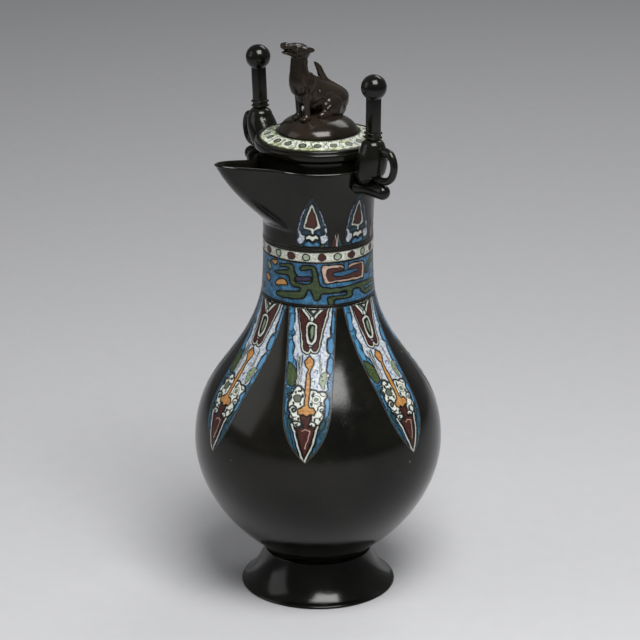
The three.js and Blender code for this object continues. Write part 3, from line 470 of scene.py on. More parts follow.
class Drawing:
    """Cells of coloured enamel laid out flat, with thin metal walls between them."""

    shade_reach = 0.8  # how far the painted shade beside a wall reaches

    def __init__(self, across, along, ground, seed, period=None, round_trip=None, wobble=0.22):
        self.random = np.random.default_rng(seed)
        self.x, self.y, self.period, self.round_trip = across, along, period, round_trip
        self.x, self.y = across + wobble * self.waves(6.0), along + wobble * self.waves(6.0)
        self.colour = np.tile(np.array(ground, float), (len(across), 1))
        # How much painted shade darkens the enamel beside the walls, from 0 to 1
        self.wall, self.painted_shade = np.zeros(len(across)), np.zeros(len(across))

    def waves(self, length):
        """A soft random swell between about -1 and 1, which closes on itself round the jug."""
        total = np.zeros(len(self.x))
        for _ in range(6):
            angle, stretch, start = self.random.uniform((0, 0.6, 0), (math.tau, 1.7, math.tau))
            across, along = math.tau / length * stretch * np.array((math.cos(angle), math.sin(angle)))
            if self.round_trip:
                across = round(across * self.round_trip / math.tau) * math.tau / self.round_trip
            total += np.sin(across * self.x + along * self.y + start)
        return total / 3

    def clouds(self, length):
        """Cloudy patches between 0 and 1."""
        return 0.5 + 0.3 * (self.waves(length) + 0.6 * self.waves(length * 0.4)
            + 0.4 * self.waves(length * 0.17))

    def specks(self, pitch, size, kept=0.5):
        """Distance to the nearest of many scattered dots."""
        count = 61
        shift = self.random.random((3, count, count))
        column, row = np.floor(self.x / pitch).astype(int), np.floor(self.y / pitch).astype(int)
        nearest = np.full(len(self.x), NOWHERE_NEAR)
        for i, j in ((i, j) for i in (-1, 0, 1) for j in (-1, 0, 1)):
            a, b = (column + i) % count, (row + j) % count
            reach = np.hypot(self.x - (column + i + shift[0, a, b]) * pitch,
                self.y - (row + j + shift[1, a, b]) * pitch)
            radius = np.where(shift[2, a, b] < kept, size * (0.5 + shift[2, a, b] / kept), -9)
            nearest = np.minimum(nearest, reach - radius)
        return nearest

    def around(self, centre):
        """Distances across, counted on from the nearest repeat of the pattern."""
        if self.period:
            return (self.x - centre + self.period / 2) % self.period - self.period / 2 + centre
        return self.x

    def near(self, points, margin):
        """The corners close to a shape, and their places."""
        points = np.array(points, float)
        (left, low), (right, high) = points.min(axis=0) - margin, points.max(axis=0) + margin
        x = self.around((left + right) / 2)
        chosen = np.flatnonzero((x > left) & (x < right) & (self.y > low) & (self.y < high))
        return points, chosen, x[chosen], self.y[chosen]

    def run(self, points, width):
        """Distance to a line of a given width, or of a width at each of its points."""
        widths = np.broadcast_to(np.array(width, float) / 2, len(points))
        points, chosen, x, y = self.near(points, widths.max() + 1.5)
        nearest = np.full(len(chosen), NOWHERE_NEAR)
        for (ax, ay), (bx, by), wa, wb in zip(points, points[1:], widths, widths[1:]):
            dx, dy = bx - ax, by - ay
            share = np.clip(((x - ax) * dx + (y - ay) * dy) / max(dx * dx + dy * dy, 1e-9), 0, 1)
            away = np.hypot(x - ax - share * dx, y - ay - share * dy)
            nearest = np.minimum(nearest, away - wa - share * (wb - wa))
        distance = np.full(len(self.x), NOWHERE_NEAR)
        distance[chosen] = nearest
        return distance

    def field(self, points):
        """Distance to the edge of a closed outline, below zero inside it."""
        closed = [*points, points[0]]
        distance = self.run(closed, 0)
        points, chosen, x, y = self.near(closed, 1.5)
        inside = np.zeros(len(x), bool)
        for (ax, ay), (bx, by) in zip(points, points[1:]):
            if ay != by:
                inside ^= ((ay > y) != (by > y)) & (x < (bx - ax) * (y - ay) / (by - ay) + ax)
        distance[chosen] *= np.where(inside, -1, 1)
        return distance

    def disc(self, x, y, radius, tall=1.0):
        return np.hypot(self.around(x) - x, (self.y - y) / tall) - radius

    def tint(self, colour, share, distance=None):
        """Mixes a colour in by a share, all over or inside an outline."""
        if distance is not None:
            share = share * inside(distance)
        self.colour += (np.array(colour) - self.colour) * np.clip(share, 0, 1)[:, None]

    def clouded(self, colour, length, low, high, share=1.0, within=None):
        """Mixes a colour in where the clouds of a given size are thick."""
        self.tint(colour, share * rising(self.clouds(length), low, high), within)

    def lay(self, distance, colour, wall=0.0):
        """Fills where the distance is below zero, and sets a wall along that edge with painted shade beside
        it.
        """
        filled = inside(distance)
        self.tint(colour, filled)
        self.wall *= 1 - filled
        self.painted_shade *= 1 - filled
        if wall:
            edge = np.abs(distance) - wall / 2
            self.wall = np.maximum(self.wall, inside(edge))
            # Painted shade beside the wall, fading out with distance from it
            self.painted_shade = np.maximum(self.painted_shade, np.clip(1 - edge / self.shade_reach, 0, 1))

    def patch(self, outline, colour, wall=0.0):
        self.lay(self.field(ring_of(outline)), colour, wall)

    def stroke(self, points, width, colour, wall=0.0):
        self.lay(self.run(smooth(points), width), colour, wall)

    def edged(self, distance, wall):
        """A wall along the outer edge of the whole drawing, with painted shade beside it."""
        self.wall = np.maximum(self.wall, inside(distance - wall))
        self.painted_shade = np.maximum(self.painted_shade, np.clip(1 - (distance - wall) / self.shade_reach, 0, 1))

    def speckle(self, within=-1.0, strength=1.0):
        """Dark specks and pin holes over what is drawn so far."""
        for pitch, size, kept, level in ((1.5, 0.20, 0.5, 0.8), (2.7, 0.34, 0.35, 1.0),
                (0.9, 0.16, 0.4, 0.45)):
            self.tint(DARK, inside(np.maximum(self.specks(pitch, size, kept), within)) * level * strength)


def inside(distance, blur=0.3):
    """1 inside an outline and 0 outside it, with a soft edge."""
    return np.clip(0.5 - distance / blur, 0, 1)


def smooth(points, steps=4, closed=False):
    """A smooth line through drawn points."""
    if closed:
        count = len(points)
        return [tuple(spline([points[(i + k) % count] for k in (-1, 0, 1, 2)], (1 + s / steps) / 3))
            for i in range(count) for s in range(steps)]
    total = (len(points) - 1) * steps
    return [tuple(spline(points, i / total)) for i in range(total + 1)]


def ring_of(points, steps=4):
    return smooth(points, steps, True)


def body_leaf_drawing(x, drop, to_edge, seed):
    """The long leaf: a lens and stem at the top, a curled mask round a gold blade, a dark point."""
    d = Drawing(x, drop, LAVENDER, seed)
    d.clouded(WHITE, 4, 0.42, 0.62, 0.9)
    d.clouded(PALE_BLUE, 3, 0.55, 0.75, 0.7)
    for points in ([(-8.7, 34), (-8.5, 45), (-7.9, 55)], [(-6.5, 35), (-6.2, 44), (-5.9, 53)],
            [(7, 36), (8.2, 46)]):
        d.stroke(points, 0.9, WHITE, 0.3)
    d.speckle(strength=0.8)
    # Blue at both sides, with ragged edges towards the pale middle
    left = [(-12.7, -2), (-12.1, 8), (-13.3, 14.1), (-11.7, 19), (-13.6, 21.7), (-11.5, 28.3),
        (-12.4, 34.4), (-9.8, 39.3), (-8.9, 44.6), (-9.4, 59)]
    right = [(14.8, -2), (14.4, 9), (13.6, 15.7), (14.2, 20.1), (12, 22.4), (11.4, 25.7), (11.8, 31),
        (14.2, 33.6), (12.4, 37.8), (12.3, 45.8), (14.8, 48), (13.4, 53), (14.2, 60)]
    for points, far in ((left, -21), (right, 21)):
        side = d.field([(far, -2), *smooth(points), (far, 60)])
        d.lay(side, BLUE, 0.7)
        d.clouded(TEAL, 7, 0.5, 0.7, 0.8, side)
        d.clouded(SKY, 5, 0.48, 0.66, 0.9, side)
    for patch in ([(-15.7, 5.9), (-12.8, 5.9), (-12.6, 9.7), (-13.5, 16.6), (-16.6, 17.1)],
            [(-16.1, 26.3), (-13.8, 23.5), (-12.5, 26.7), (-13.2, 31), (-11.8, 36), (-12.7, 40.5),
            (-15.8, 40)], [(-15.9, 56.7), (-12.5, 57.2), (-12.7, 61.5), (-15.2, 62.6)],
            [(14.9, 3.8), (16.3, 4.8), (16.6, 17.6), (14.4, 17.5)],
            [(12.2, 24), (14.9, 21.7), (16.4, 23.5), (16.4, 32), (12.8, 31.4)],
            [(13, 37.8), (15.7, 35.5), (16.7, 42.4), (15.4, 47.6), (12.9, 45.8)]):
        d.patch(patch, SKY, 0.35)
    green = d.field(ring_of([(-15, 39.9), (-10.7, 42.9), (-8.9, 47.1), (-8.9, 51.6), (-9.8, 56.1),
        (-13.4, 57.3), (-16.1, 52.2), (-16, 44.3)]))
    d.lay(green, GREEN, 0.6)
    d.clouded(LEAF_GREEN, 3, 0.45, 0.65, within=green)
    d.speckle(green)
    d.patch([(12.6, 46.5), (12.3, 52.6), (11.2, 58.9), (8.6, 56.1), (7.4, 50.8), (9.3, 47.2)], SAGE, 0.3)
    for x_at, y_at in ((10, 52.3), (13.4, 50.2), (14.8, 51.6), (9, 49.4), (6.4, 57)):
        d.lay(d.disc(x_at, y_at, 0.6), DARK)
    for points in ([(-7.4, 35.6), (-7.3, 42.5), (-6.4, 51.3)], [(-5.4, 33.7), (-5.3, 40.7), (-5, 48)]):
        d.stroke(points, [0.9] * 5 + [0.3] * 4, DEEP_BLUE)
    for points in ([(3.2, 46.4), (4.6, 44.6), (6.4, 45.6), (5.6, 47.4)],
            [(2.6, 53.4), (4.2, 52.6), (4, 55)], [(5.6, 33.6), (7.6, 35.4), (6.8, 37.6)]):
        d.stroke(points, 0.6, DEEP_BLUE)
    # Slate and teal below, round the mask and the point
    low = d.field([(-21, 58), (-13.4, 58.4), (-9, 62), (8, 62), (13.6, 58.8), (21, 58), (21, 126),
        (-21, 126)])
    d.lay(low, SLATE)
    d.clouded(BLUE, 6, 0.42, 0.6, within=low)
    d.clouded(TEAL, 5, 0.5, 0.66, within=low)
    for patch, colour in (([(-15.8, 66), (-13.2, 67.6), (-14.2, 71.3), (-14.2, 75.5), (-15.6, 77)], SKY),
            ([(12, 66.2), (15.4, 65), (15.6, 77), (12.4, 79.4), (13.2, 72.5)], SKY),
            ([(-13.8, 80.4), (-11.4, 81.6), (-9.8, 84.4), (-11.6, 87.6), (-13.4, 85)], TEAL),
            ([(10.6, 83.4), (13.2, 80.6), (13.8, 84), (11, 88.6), (9.4, 87)], TEAL),
            ([(-11.4, 89), (-9.6, 88), (-6.6, 98.5), (-5.2, 104), (-7.4, 102)], BLUE),
            ([(8.4, 89), (9.8, 88.5), (6.8, 99), (4.2, 104), (5.2, 98)], BLUE)):
        d.patch(patch, colour, 0.5)
    d.speckle(low, 0.8)
    # Dark red fields beside the lens, inside a white line
    hem = smooth([(-9.7, -1), (-8.9, 5), (-7.7, 13.4), (-6.6, 21.8), (-5.7, 29.4), (-2.9, 32.2),
        (-0.7, 31.6), (0.2, 29.2), (1.4, 31.2), (3.8, 31.7), (5.7, 29.3), (7, 21.4), (8.7, 13), (11, 5),
        (12, -1)])
    d.lay(d.run(hem, 3.1), DARK)
    d.lay(d.run(hem, 1.3), WHITE, 0.3)
    for flank in ([(-9.6, 0.6), (-8.3, 8.4), (-7.1, 16), (-5.8, 23.5), (-4.9, 29), (-2.7, 31),
            (-0.9, 29.6), (-1.3, 27.6), (-3, 25), (-4, 20.1), (-4.1, 12.4), (-1, 9.9), (-3, 5.9),
            (-6.6, 1.4)], [(11, 0.6), (9, 7.9), (7.7, 14.6), (6.1, 23), (5.2, 29), (2.9, 30.6),
            (1.1, 29.2), (1.3, 27), (3.4, 24.7), (4.4, 19.7), (4.2, 12.1), (1.2, 8.7), (3.6, 5.7),
            (7.4, 1.4)]):
        red = d.field(ring_of(flank))
        d.lay(red, MAROON, 0.5)
        d.clouded(DARK_MAROON, 3, 0.5, 0.7, 0.7, red)
    for arm, width in (([(-6.6, 1), (-2.8, 5.9), (-0.4, 9)], 2.3), ([(7.2, 1), (3.6, 4.7), (0.8, 8.6)],
            2.3), ([(0.3, 7.4), (0.2, 11)], 2.5)):
        d.stroke(arm, width, WHITE, 0.7)
    d.lay(d.field([(-3.6, 1), (5.6, 1), (1.2, 6)]), GREY_GREEN, 0.8)
    d.lay(d.field([(-1.4, 1.6), (3.8, 1.6), (1.3, 4.3)]), WHITE, 0.6)
    d.lay(d.field([(-11.2, -1), (11.6, -1), (11.2, 0.9), (-10.8, 0.9)]), WHITE, 0.6)
    for x_at in (-9.4, -7.6, 8.4, 10.2):
        d.lay(d.field([(x_at - 0.9, 0.2), (x_at + 0.9, 0.2), (x_at, 1.8)]), DARK)
    d.patch([(-0.2, 9.6), (-3.3, 11), (-4.1, 14.9), (-3.6, 21.7), (-2.4, 25.5), (0.5, 26.8), (3, 25.1),
        (4.3, 21.4), (4.4, 14.6), (3.4, 11.2)], WHITE, 0.7)
    d.patch([(-0.2, 11.9), (-2.1, 12.7), (-2.4, 17.3), (-1.7, 21.6), (0.1, 24.9), (1.6, 23), (2.5, 18.8),
        (2.5, 13.9), (1.6, 12.2)], DARK, 0.4)
    d.patch([(0.7, 13), (1.8, 14.6), (1.7, 18.8), (0.9, 22.6), (-0.3, 20), (-0.7, 15)], SAGE, 0.3)
    # Curled mask round the blade
    for cheek in ([(-9, 56.8), (-6.3, 56.2), (-3.8, 58.3), (-1.8, 61.6), (-1.8, 70.3), (-4.6, 72.6),
            (-5.7, 74.9), (-4.5, 77.7), (-3.9, 81.4), (-3.1, 84), (-4, 85.7), (-7.9, 86.8), (-10.6, 84.4),
            (-9.1, 81.3), (-12.6, 79.6), (-11.9, 76.9), (-13.5, 73.8), (-14.1, 69.4), (-11.9, 66.2),
            (-14.1, 63.4), (-11.1, 61.9)], [(1.2, 60.2), (5, 59.3), (7.4, 60.6), (11, 60.4), (13.9, 63.2),
            (11.9, 67.5), (12.9, 71.9), (11.2, 75.4), (12.4, 78.6), (10.3, 82.8), (7.9, 86.3), (4, 85.8),
            (0.9, 83.8), (1.4, 82), (3.4, 81.2), (3.4, 77.9), (5.4, 75.1), (4, 72.3), (0.8, 71.4)]):
        white = d.field(ring_of(cheek))
        d.lay(white, WHITE, 1.2)
        d.speckle(white, 0.6)
    for points, width in (([(-10.2, 59.6), (-9, 57.6), (-7, 56.4), (-4.9, 57.7), (-4.8, 60.1),
            (-6.6, 60.4)], 1.2), ([(-13.4, 62.6), (-11.5, 65.5), (-13.8, 69), (-13.2, 73.3), (-11.1, 71.5),
            (-8.4, 71.8), (-7.8, 74.2), (-9.6, 75.6), (-10.6, 74.2), (-9.4, 73.4)], 1.25),
            ([(7.7, 73.9), (8.1, 71.4), (10.6, 70.6), (12.5, 72.3), (11.9, 74.6), (9.9, 75), (9.4, 73.4),
            (10.6, 72.8)], 0.95), ([(-11.6, 77.6), (-10, 79.4), (-7.6, 79.2)], 0.9),
            ([(-10.6, 83.6), (-8.2, 82.3), (-4.4, 82.7), (-3.6, 84.6), (-5.6, 86), (-7.6, 84.9),
            (-6.2, 84)], 1), ([(0.6, 83.6), (3.9, 82.2), (6.6, 83.4), (6.6, 85.6), (4.5, 86), (4, 84.5)],
            1), ([(6.2, 79.8), (8.8, 79.6), (10.8, 77.8)], 0.7),
            ([(8.8, 61.6), (10.4, 63.6), (12.4, 63.4)], 0.7)):
        d.stroke(points, 1.3 * width, DARK)
    for x_at, y_at in ((-4.9, 69.7), (3.4, 63.4), (3, 69.6), (-3.7, 63.8), (-9.9, 69.4), (9.7, 69),
            (-9.8, 81.4), (9.6, 80.4), (-5.6, 80.4), (5.8, 80.8), (-8.6, 61.4), (4.2, 61.8)):
        d.lay(d.disc(x_at, y_at, 0.75 + 0.3 * d.random.random(), 1.5), DARK)
    for x_at, y_at, radius, colour in ((-7.2, 65.8, 3.2, DARK), (-7.2, 65.8, 2.3, GREY_GREEN),
            (6.2, 66.2, 3.2, DARK), (6.2, 66.2, 2.6, WHITE), (6.2, 66.2, 1.7, DARK),
            (6.2, 66.2, 1.1, SAGE), (6.2, 66.2, 0.45, DARK)):
        d.lay(d.disc(x_at, y_at, radius), colour)
    # Dark point inside a white border
    point = smooth([(-10.2, 84.8), (-8.1, 90.1), (-6.1, 97.5), (-3.3, 105.6), (-0.8, 110.6), (1.8, 106.2),
        (5.3, 97.9), (6.9, 90.4), (8.4, 85.6)])
    d.lay(d.run(point, 2.2), WHITE, 0.9)
    d.speckle(d.run(point, 2.3), 0.7)
    red = d.field([(-4, 78), (3.4, 78), (2.5, 81.7), (1.3, 84.6), (1.6, 86), (6, 86.4), (4.7, 93.8),
        (2.1, 101.4), (-0.4, 108.8), (-2.6, 102.4), (-5, 94.2), (-6.8, 87), (-1.9, 86.3), (-2.2, 84.6),
        (-3.5, 82)])
    d.lay(red, MAROON, 0.5)
    d.clouded(DARK_MAROON, 4, 0.45, 0.65, 0.7, red)
    d.lay(d.run([(-2.6, 89.1), (-0.3, 87.7), (2.9, 88.9), (1.8, 94.6), (-0.3, 101.5)], 0.45), PINK)
    # Gold blade with its knot
    blade = d.field([(-0.5, 34.3), (-3.9, 38.4), (-2.5, 42.3), (-1, 44.3), (-1.7, 47.6), (-2.1, 54.6),
        (-2, 63.4), (-2.1, 70.3), (-4.2, 72.6), (-6.4, 73.6), (-6.5, 76.8), (-4.1, 78), (-2.4, 77),
        (0, 79), (2.4, 77), (5.2, 77.8), (6.6, 74.9), (4.6, 72.4), (1.6, 71.9), (0.9, 70.2), (1.2, 63.2),
        (1.6, 55.3), (0.7, 47.5), (1.2, 44.1), (2.8, 40.9), (3.1, 37.7)])
    d.lay(blade, OCHRE, 0.8)
    d.clouded(DULL_OCHRE, 3, 0.52, 0.72, 0.8, blade)
    for points in ([(-5.4, 75.8), (-4.2, 74.4), (-2.6, 75.2)], [(5.4, 76), (4.2, 74.6), (2.6, 75.4)],
            [(-2.4, 39), (-0.5, 37), (1.6, 39)]):
        d.stroke(points, 0.5, DULL_OCHRE)
    d.lay(to_edge - 0.95, DARK)
    d.lay(to_edge - 0.6, TAN)
    d.edged(to_edge, 0.12)
    d.edged(d.y, 0.3)
    return d


def neck_leaf_drawing(x, rise, to_edge, seed):
    """The short leaf: a dark red point in a white border above a cloud."""
    d = Drawing(x, rise, DEEP_BLUE, seed, wobble=0.18)
    d.tint(DARK, rising(d.y + 4 * d.waves(7), 12, 30))
    d.clouded(TEAL, 6, 0.4, 0.6, 0.7)
    d.clouded(BLUE, 4, 0.55, 0.75, 0.7)
    for points in ([(-8.7, 12.4), (-10.4, 12.2), (-9.6, 7.8), (-11.1, 4.6), (-8.9, 1.9), (-5.6, 4.6),
            (-4.9, 8.2), (-7.3, 9.1)], [(8.4, 14.4), (11.6, 13.5), (9.9, 9.1), (11.6, 7.6), (10.6, 3.9),
            (7, 2.4), (5.6, 5.5), (5.6, 8.5), (9.1, 9.6)]):
        side = d.field(ring_of(points))
        d.lay(side, LAVENDER, 0.5)
        d.clouded(WHITE, 2.5, 0.42, 0.6, 0.8, side)
    for points in ([(-0.7, 36), (-4.3, 29.2), (-7.1, 22.9), (-9.2, 14.5), (-10.4, 12.6)],
            [(1.4, 35), (4.9, 28), (7, 21.9), (8.7, 16.6), (11.4, 14.3)]):
        d.stroke(points, [0.5] * 5 + [1.2] * 12, LAVENDER, 0.35)
        d.clouded(DARK, 2, 0.5, 0.62, 0.8, d.run(smooth(points), 1.6))
    d.patch([(0.1, 32.4), (-3.1, 26.3), (-6.3, 14.8), (-3.3, 13.2), (-1, 12), (-0.8, 9.8), (1.2, 9.8),
        (1.8, 12.2), (4.9, 13.6), (6.1, 15.2), (3.3, 24.9)], WHITE, 0.7)
    d.speckle(strength=0.9)
    d.lay(d.field([(0.1, 29.2), (-2.1, 24), (-4.4, 15.5), (-1.4, 14.4), (1.4, 14.1), (3.6, 16),
        (2.1, 24.2)]), MAROON, 0.5)
    for points in ([(-0.3, 9.4), (-2.1, 12.1), (-5.2, 12.6), (-7.5, 11.2), (-7, 9.1), (-5.4, 9.5)],
            [(2.1, 10.4), (3.3, 12.4), (5.9, 12.9), (8.2, 12), (7.8, 10), (6.3, 10.4)]):
        d.stroke(points, 1.05, DARK)
    d.patch([(-4.4, 5.2), (-4.8, 7.5), (-2.7, 9.2), (0.2, 8.6), (2.8, 9.4), (4.6, 7.6), (4.6, 5.3),
        (2.4, 5.7), (0.2, 4.2), (-2.2, 5.5)], WHITE, 1.1)
    scallop = d.field([(-6.2, 1.6), (-4.3, 4.2), (-2.2, 4.5), (0.3, 2.9), (2.8, 4.4), (5.8, 2.9),
        (5.2, 0.3), (-5.2, 0.3)])
    d.lay(scallop, BLUE, 0.7)
    d.clouded(SKY, 3, 0.4, 0.6, within=scallop)
    for x_at, colour in ((-11, PURPLE), (-8, TEAL), (7.4, LEAF_GREEN), (10, BLUE)):
        d.lay(d.disc(x_at, 0.6, 1.5), colour, 0.4)
    d.lay(to_edge - 0.7, DARK)
    d.edged(to_edge, 0.12)
    d.edged(d.y, 0.3)
    return d


def neck_chip_drawing(x, rise, to_edge, seed):
    """The small chip between two neck leaves: three colours between thin pale lines."""
    d = Drawing(x, rise, MAROON, seed, wobble=0.15)
    d.lay(d.field([(0, 15), (0.4, -1), (6, -1)]), TEAL, 0.4)
    d.lay(d.field([(-0.4, 9), (-1.4, -1), (1.6, -1)]), BLUE, 0.4)
    for points in ([(-2.2, 12), (-0.4, 5), (0, -1)], [(2, 12), (0.6, 5), (0.2, -1)]):
        d.lay(d.run(points, 0.45), PINK)
    d.speckle()
    d.edged(to_edge, 0.3)
    return d


PER_DEGREE = math.tau * NECK_RADIUS / 360


def scroll_band_drawing(x, height, to_edge):
    """Squared dragon scrolls in green on blue, with a red hook edged in pink."""
    d = Drawing(x, height, BLUE, 11, 180 * PER_DEGREE, 360 * PER_DEGREE)

    def placed(points):
        return [(degrees * PER_DEGREE, up) for degrees, up in points]

    d.clouded(SKY, 9, 0.46, 0.66, 0.6)
    d.clouded(SLATE, 12, 0.58, 0.8, 0.7)
    upper = [(-42.8, 257.7), (-36, 258.6), (-30.5, 259.6), (-26.5, 258.4), (-25.2, 254.6), (-22, 250.8),
        (-24.8, 248.3), (-22, 245.8), (-15, 245.6), (-9.2, 246), (-5.8, 248.7), (-6.2, 255.2),
        (-8.2, 256.4), (-16.5, 255.3), (-18.2, 257.1), (-15.5, 258.9), (-5.5, 259.5), (-1.5, 256.2),
        (1, 248), (2.6, 244.3), (10.2, 242.8), (23, 242.4), (36.2, 242.7), (45.8, 243.3), (54, 242.9),
        (66, 242), (79, 241)]
    lower = [(79, 234.4), (66, 233.2), (54.2, 233.7), (49.8, 236), (47, 238.7), (41.2, 239.8), (37, 238),
        (36.2, 234.4), (27.2, 233.7), (18.5, 234.1), (16.2, 232.5), (15.8, 230), (10.5, 230), (10, 235.3),
        (15.2, 236.4), (28.5, 236.4), (30.6, 237.4), (28.5, 238.5), (10.2, 238.6), (4, 238.2), (2.2, 237),
        (1.4, 234.3), (-4, 234.1), (-5.5, 237.6), (-8.2, 241.2), (-11.2, 240.4), (-12.8, 236.3),
        (-18.5, 234.3), (-29.5, 233.6), (-44.8, 233.9), (-46.5, 236.5), (-35.8, 238.4), (-20.8, 239.6),
        (-18.6, 241.1), (-19.4, 242.6), (-26.5, 242.9), (-30, 245.5), (-31.3, 249.7), (-37.5, 250.4),
        (-49, 249.9), (-49.8, 251.3), (-40, 253.2), (-32.5, 254.7), (-31.6, 256.2), (-36, 256.2),
        (-41.5, 255.8)]
    scroll = d.field(ring_of(placed(upper + lower), 3))
    d.lay(scroll, GREEN, 1)
    d.clouded(LEAF_GREEN, 5, 0.46, 0.66, 0.7, scroll)
    d.clouded(SLATE, 3, 0.6, 0.8, 0.5, scroll)
    for points, width, colour in (([(57, 237.6), (66, 238.2), (77, 237.6)], 2, SKY),
            ([(23, 238.6), (30, 238.8)], 0.9, PINK),
            ([(84, 257), (93, 257.6), (99, 254), (99, 246), (92, 243.4)], 4.2, GREEN),
            ([(60, 250), (66, 255), (74, 257.4), (80, 252), (80, 246)], 4.2, GREEN),
            ([(86, 236), (96, 237.6), (106, 236.4)], 4, GREEN), ([(86, 250.6), (91, 251)], 2.6, PURPLE)):
        d.stroke(placed(points), width, colour, 0.9)
    for points, colour in (([(-24.2, 248.7), (-22.5, 250.4), (-8.2, 251), (-7.3, 249.8), (-8.2, 247.9),
            (-21, 247)], PURPLE), ([(-48.5, 241.4), (-47.2, 244.6), (-43, 246.8), (-37.5, 247),
            (-34.2, 245.8), (-33.5, 243.3)], OCHRE),
            ([(-58.8, 257.5), (-48.8, 259.8), (-47, 258.1), (-50.5, 255.9), (-54.8, 256.7)], OCHRE),
            ([(-68.5, 245.8), (-62, 247.2), (-57.7, 243.8), (-62.2, 241.7)], OCHRE),
            ([(-66, 255.6), (-60, 256.4), (-56, 252.4), (-60.4, 250.4)], SAGE),
            ([(3.2, 256.6), (4.2, 258.6), (8.2, 259.6), (23.8, 259.2), (27.5, 257), (27, 254.8),
            (33, 254.4), (33, 257.7), (40, 259), (52.2, 258.1), (55.2, 255.9), (54.5, 246.3),
            (50.5, 245.5), (23.2, 246.4), (12.2, 245.7), (6.8, 246.5), (4.2, 251.7)], PINK)):
        d.lay(d.field(ring_of(placed(points), 3)), colour, 0.9)
    d.speckle(strength=0.45)
    for points, colour, wall in (([(9, 254.6), (11, 256.6), (21, 257), (23, 257.6), (25.8, 256.1),
            (25, 254.2), (17.8, 254), (15.4, 252.8), (15.6, 251.4), (19.8, 250.4), (30, 250.6),
            (36.2, 251.7), (45, 252.3), (45.4, 253.8), (36.2, 254.4), (34.8, 256.1), (42.8, 257.1),
            (50.8, 256.7), (51.6, 254.8), (50.8, 248.8), (46.5, 247.8), (23.8, 248.2), (12.2, 247.6),
            (9.4, 249.6)], MAROON, 0.5), ([(15.5, 253.7), (25.2, 253.9), (27.8, 254.7), (33, 254.5),
            (45, 253.9), (44.6, 252), (35, 251.4), (28.8, 250.7), (18.8, 250.5), (15.4, 251.6)], BLUE,
            0.5), ([(27.6, 254.4), (33, 254.2), (33, 262), (27.9, 262)], BLUE, 0.6)):
        d.lay(d.field(ring_of(placed(points), 3) if colour is MAROON else placed(points)), colour, wall)
    d.edged(to_edge, 0.45)
    return d


BEADS, FIRST_BEAD = 22, 4.1


def bead_band_drawing(x, height, to_edge):
    """Oval dots on white, by turns dark red and ringed pale green."""
    pitch = 360 / BEADS * PER_DEGREE
    d = Drawing(x, height, CREAM, 12, 2 * pitch, 360 * PER_DEGREE, 0.25)
    d.clouded(WHITE, 6, 0.5, 0.7)
    d.speckle()
    middle = sum(BEAD_BAND) / 2
    start = FIRST_BEAD * PER_DEGREE
    d.lay(d.disc(start, middle, 3.35, 0.88), DARK)
    d.lay(d.disc(start, middle, 2.9, 0.86), DARK_MAROON)
    d.clouded(MAROON, 2, 0.45, 0.65, within=d.disc(start, middle, 2.7, 0.84))
    d.lay(d.disc(start + pitch, middle, 3.1, 0.96), DARK)
    d.lay(d.disc(start + pitch, middle, 2.15, 0.95), SAGE)
    d.clouded(WHITE, 1.5, 0.5, 0.7, 0.7, d.disc(start + pitch, middle, 2.1, 0.95))
    d.edged(to_edge, 0.25)
    return d


LID_DOTS = 20
LID_RING_MIDDLE = (RING_OUTER + RING_INNER) / 2
LID_RING_WIDTH = math.hypot(RING_OUTER - RING_INNER, DECK_TOP - MOULDING_TOP)


def lid_ring_drawing(x, inward, to_edge):
    """Ringed dots on cream, with leafy strokes and an olive border at the outer edge."""
    around = math.tau * LID_RING_MIDDLE
    d = Drawing(x, inward, CREAM, 13, around, around, 0.35)
    d.clouded(WHITE, 5, 0.4, 0.6)
    d.clouded(OLIVE_YELLOW, 14, 0.54, 0.76, 0.75)
    d.clouded(SAGE, 9, 0.6, 0.8, 0.6)
    for number in range(LID_DOTS):
        centre = (number / LID_DOTS - 0.5) * around
        shift = d.random.uniform(-1, 1, 12)
        for side in (-1, 1):
            bend = [(centre + side * (5.2 + 0.5 * shift[0]), 2.4),
                (centre + side * (4.6 + shift[1]), 5 + shift[2]),
                (centre + side * (5.8 + 0.6 * shift[3]), 8 + shift[4]), (centre + side * 4.8, 10.8)]
            d.stroke(bend, 0.6, GREY_GREEN if side > 0 else DARK)
        curl = [(centre - 3.4 + shift[5], 10.6), (centre - 1.2, 11.6 + 0.4 * shift[6]),
            (centre + 1.8 + shift[7], 10.9)]
        d.stroke(curl, 0.7, DARK)
        dot = (centre + 0.4 * shift[8], 6.5 + 0.3 * shift[9])
        d.lay(d.disc(*dot, 2.95 + 0.2 * shift[10], 0.95), DARK)
        d.lay(d.disc(*dot, 2.1, 0.95), GREY_GREEN)
        d.clouded(SAGE, 1.6, 0.55, 0.75, 0.5, d.disc(*dot, 1.9, 0.95))
    d.speckle()
    border = inward - 1.4 - 0.6 * d.waves(6)
    d.lay(border, LEAF_GREEN)
    d.clouded(OLIVE_YELLOW, 3, 0.45, 0.65, 0.7, border)
    d.lay(inward - 0.7, DARK)
    d.lay(LID_RING_WIDTH - 1.1 - inward, LEAF_GREEN)
    d.edged(to_edge, 0.3)
    return d


# Enamel pieces

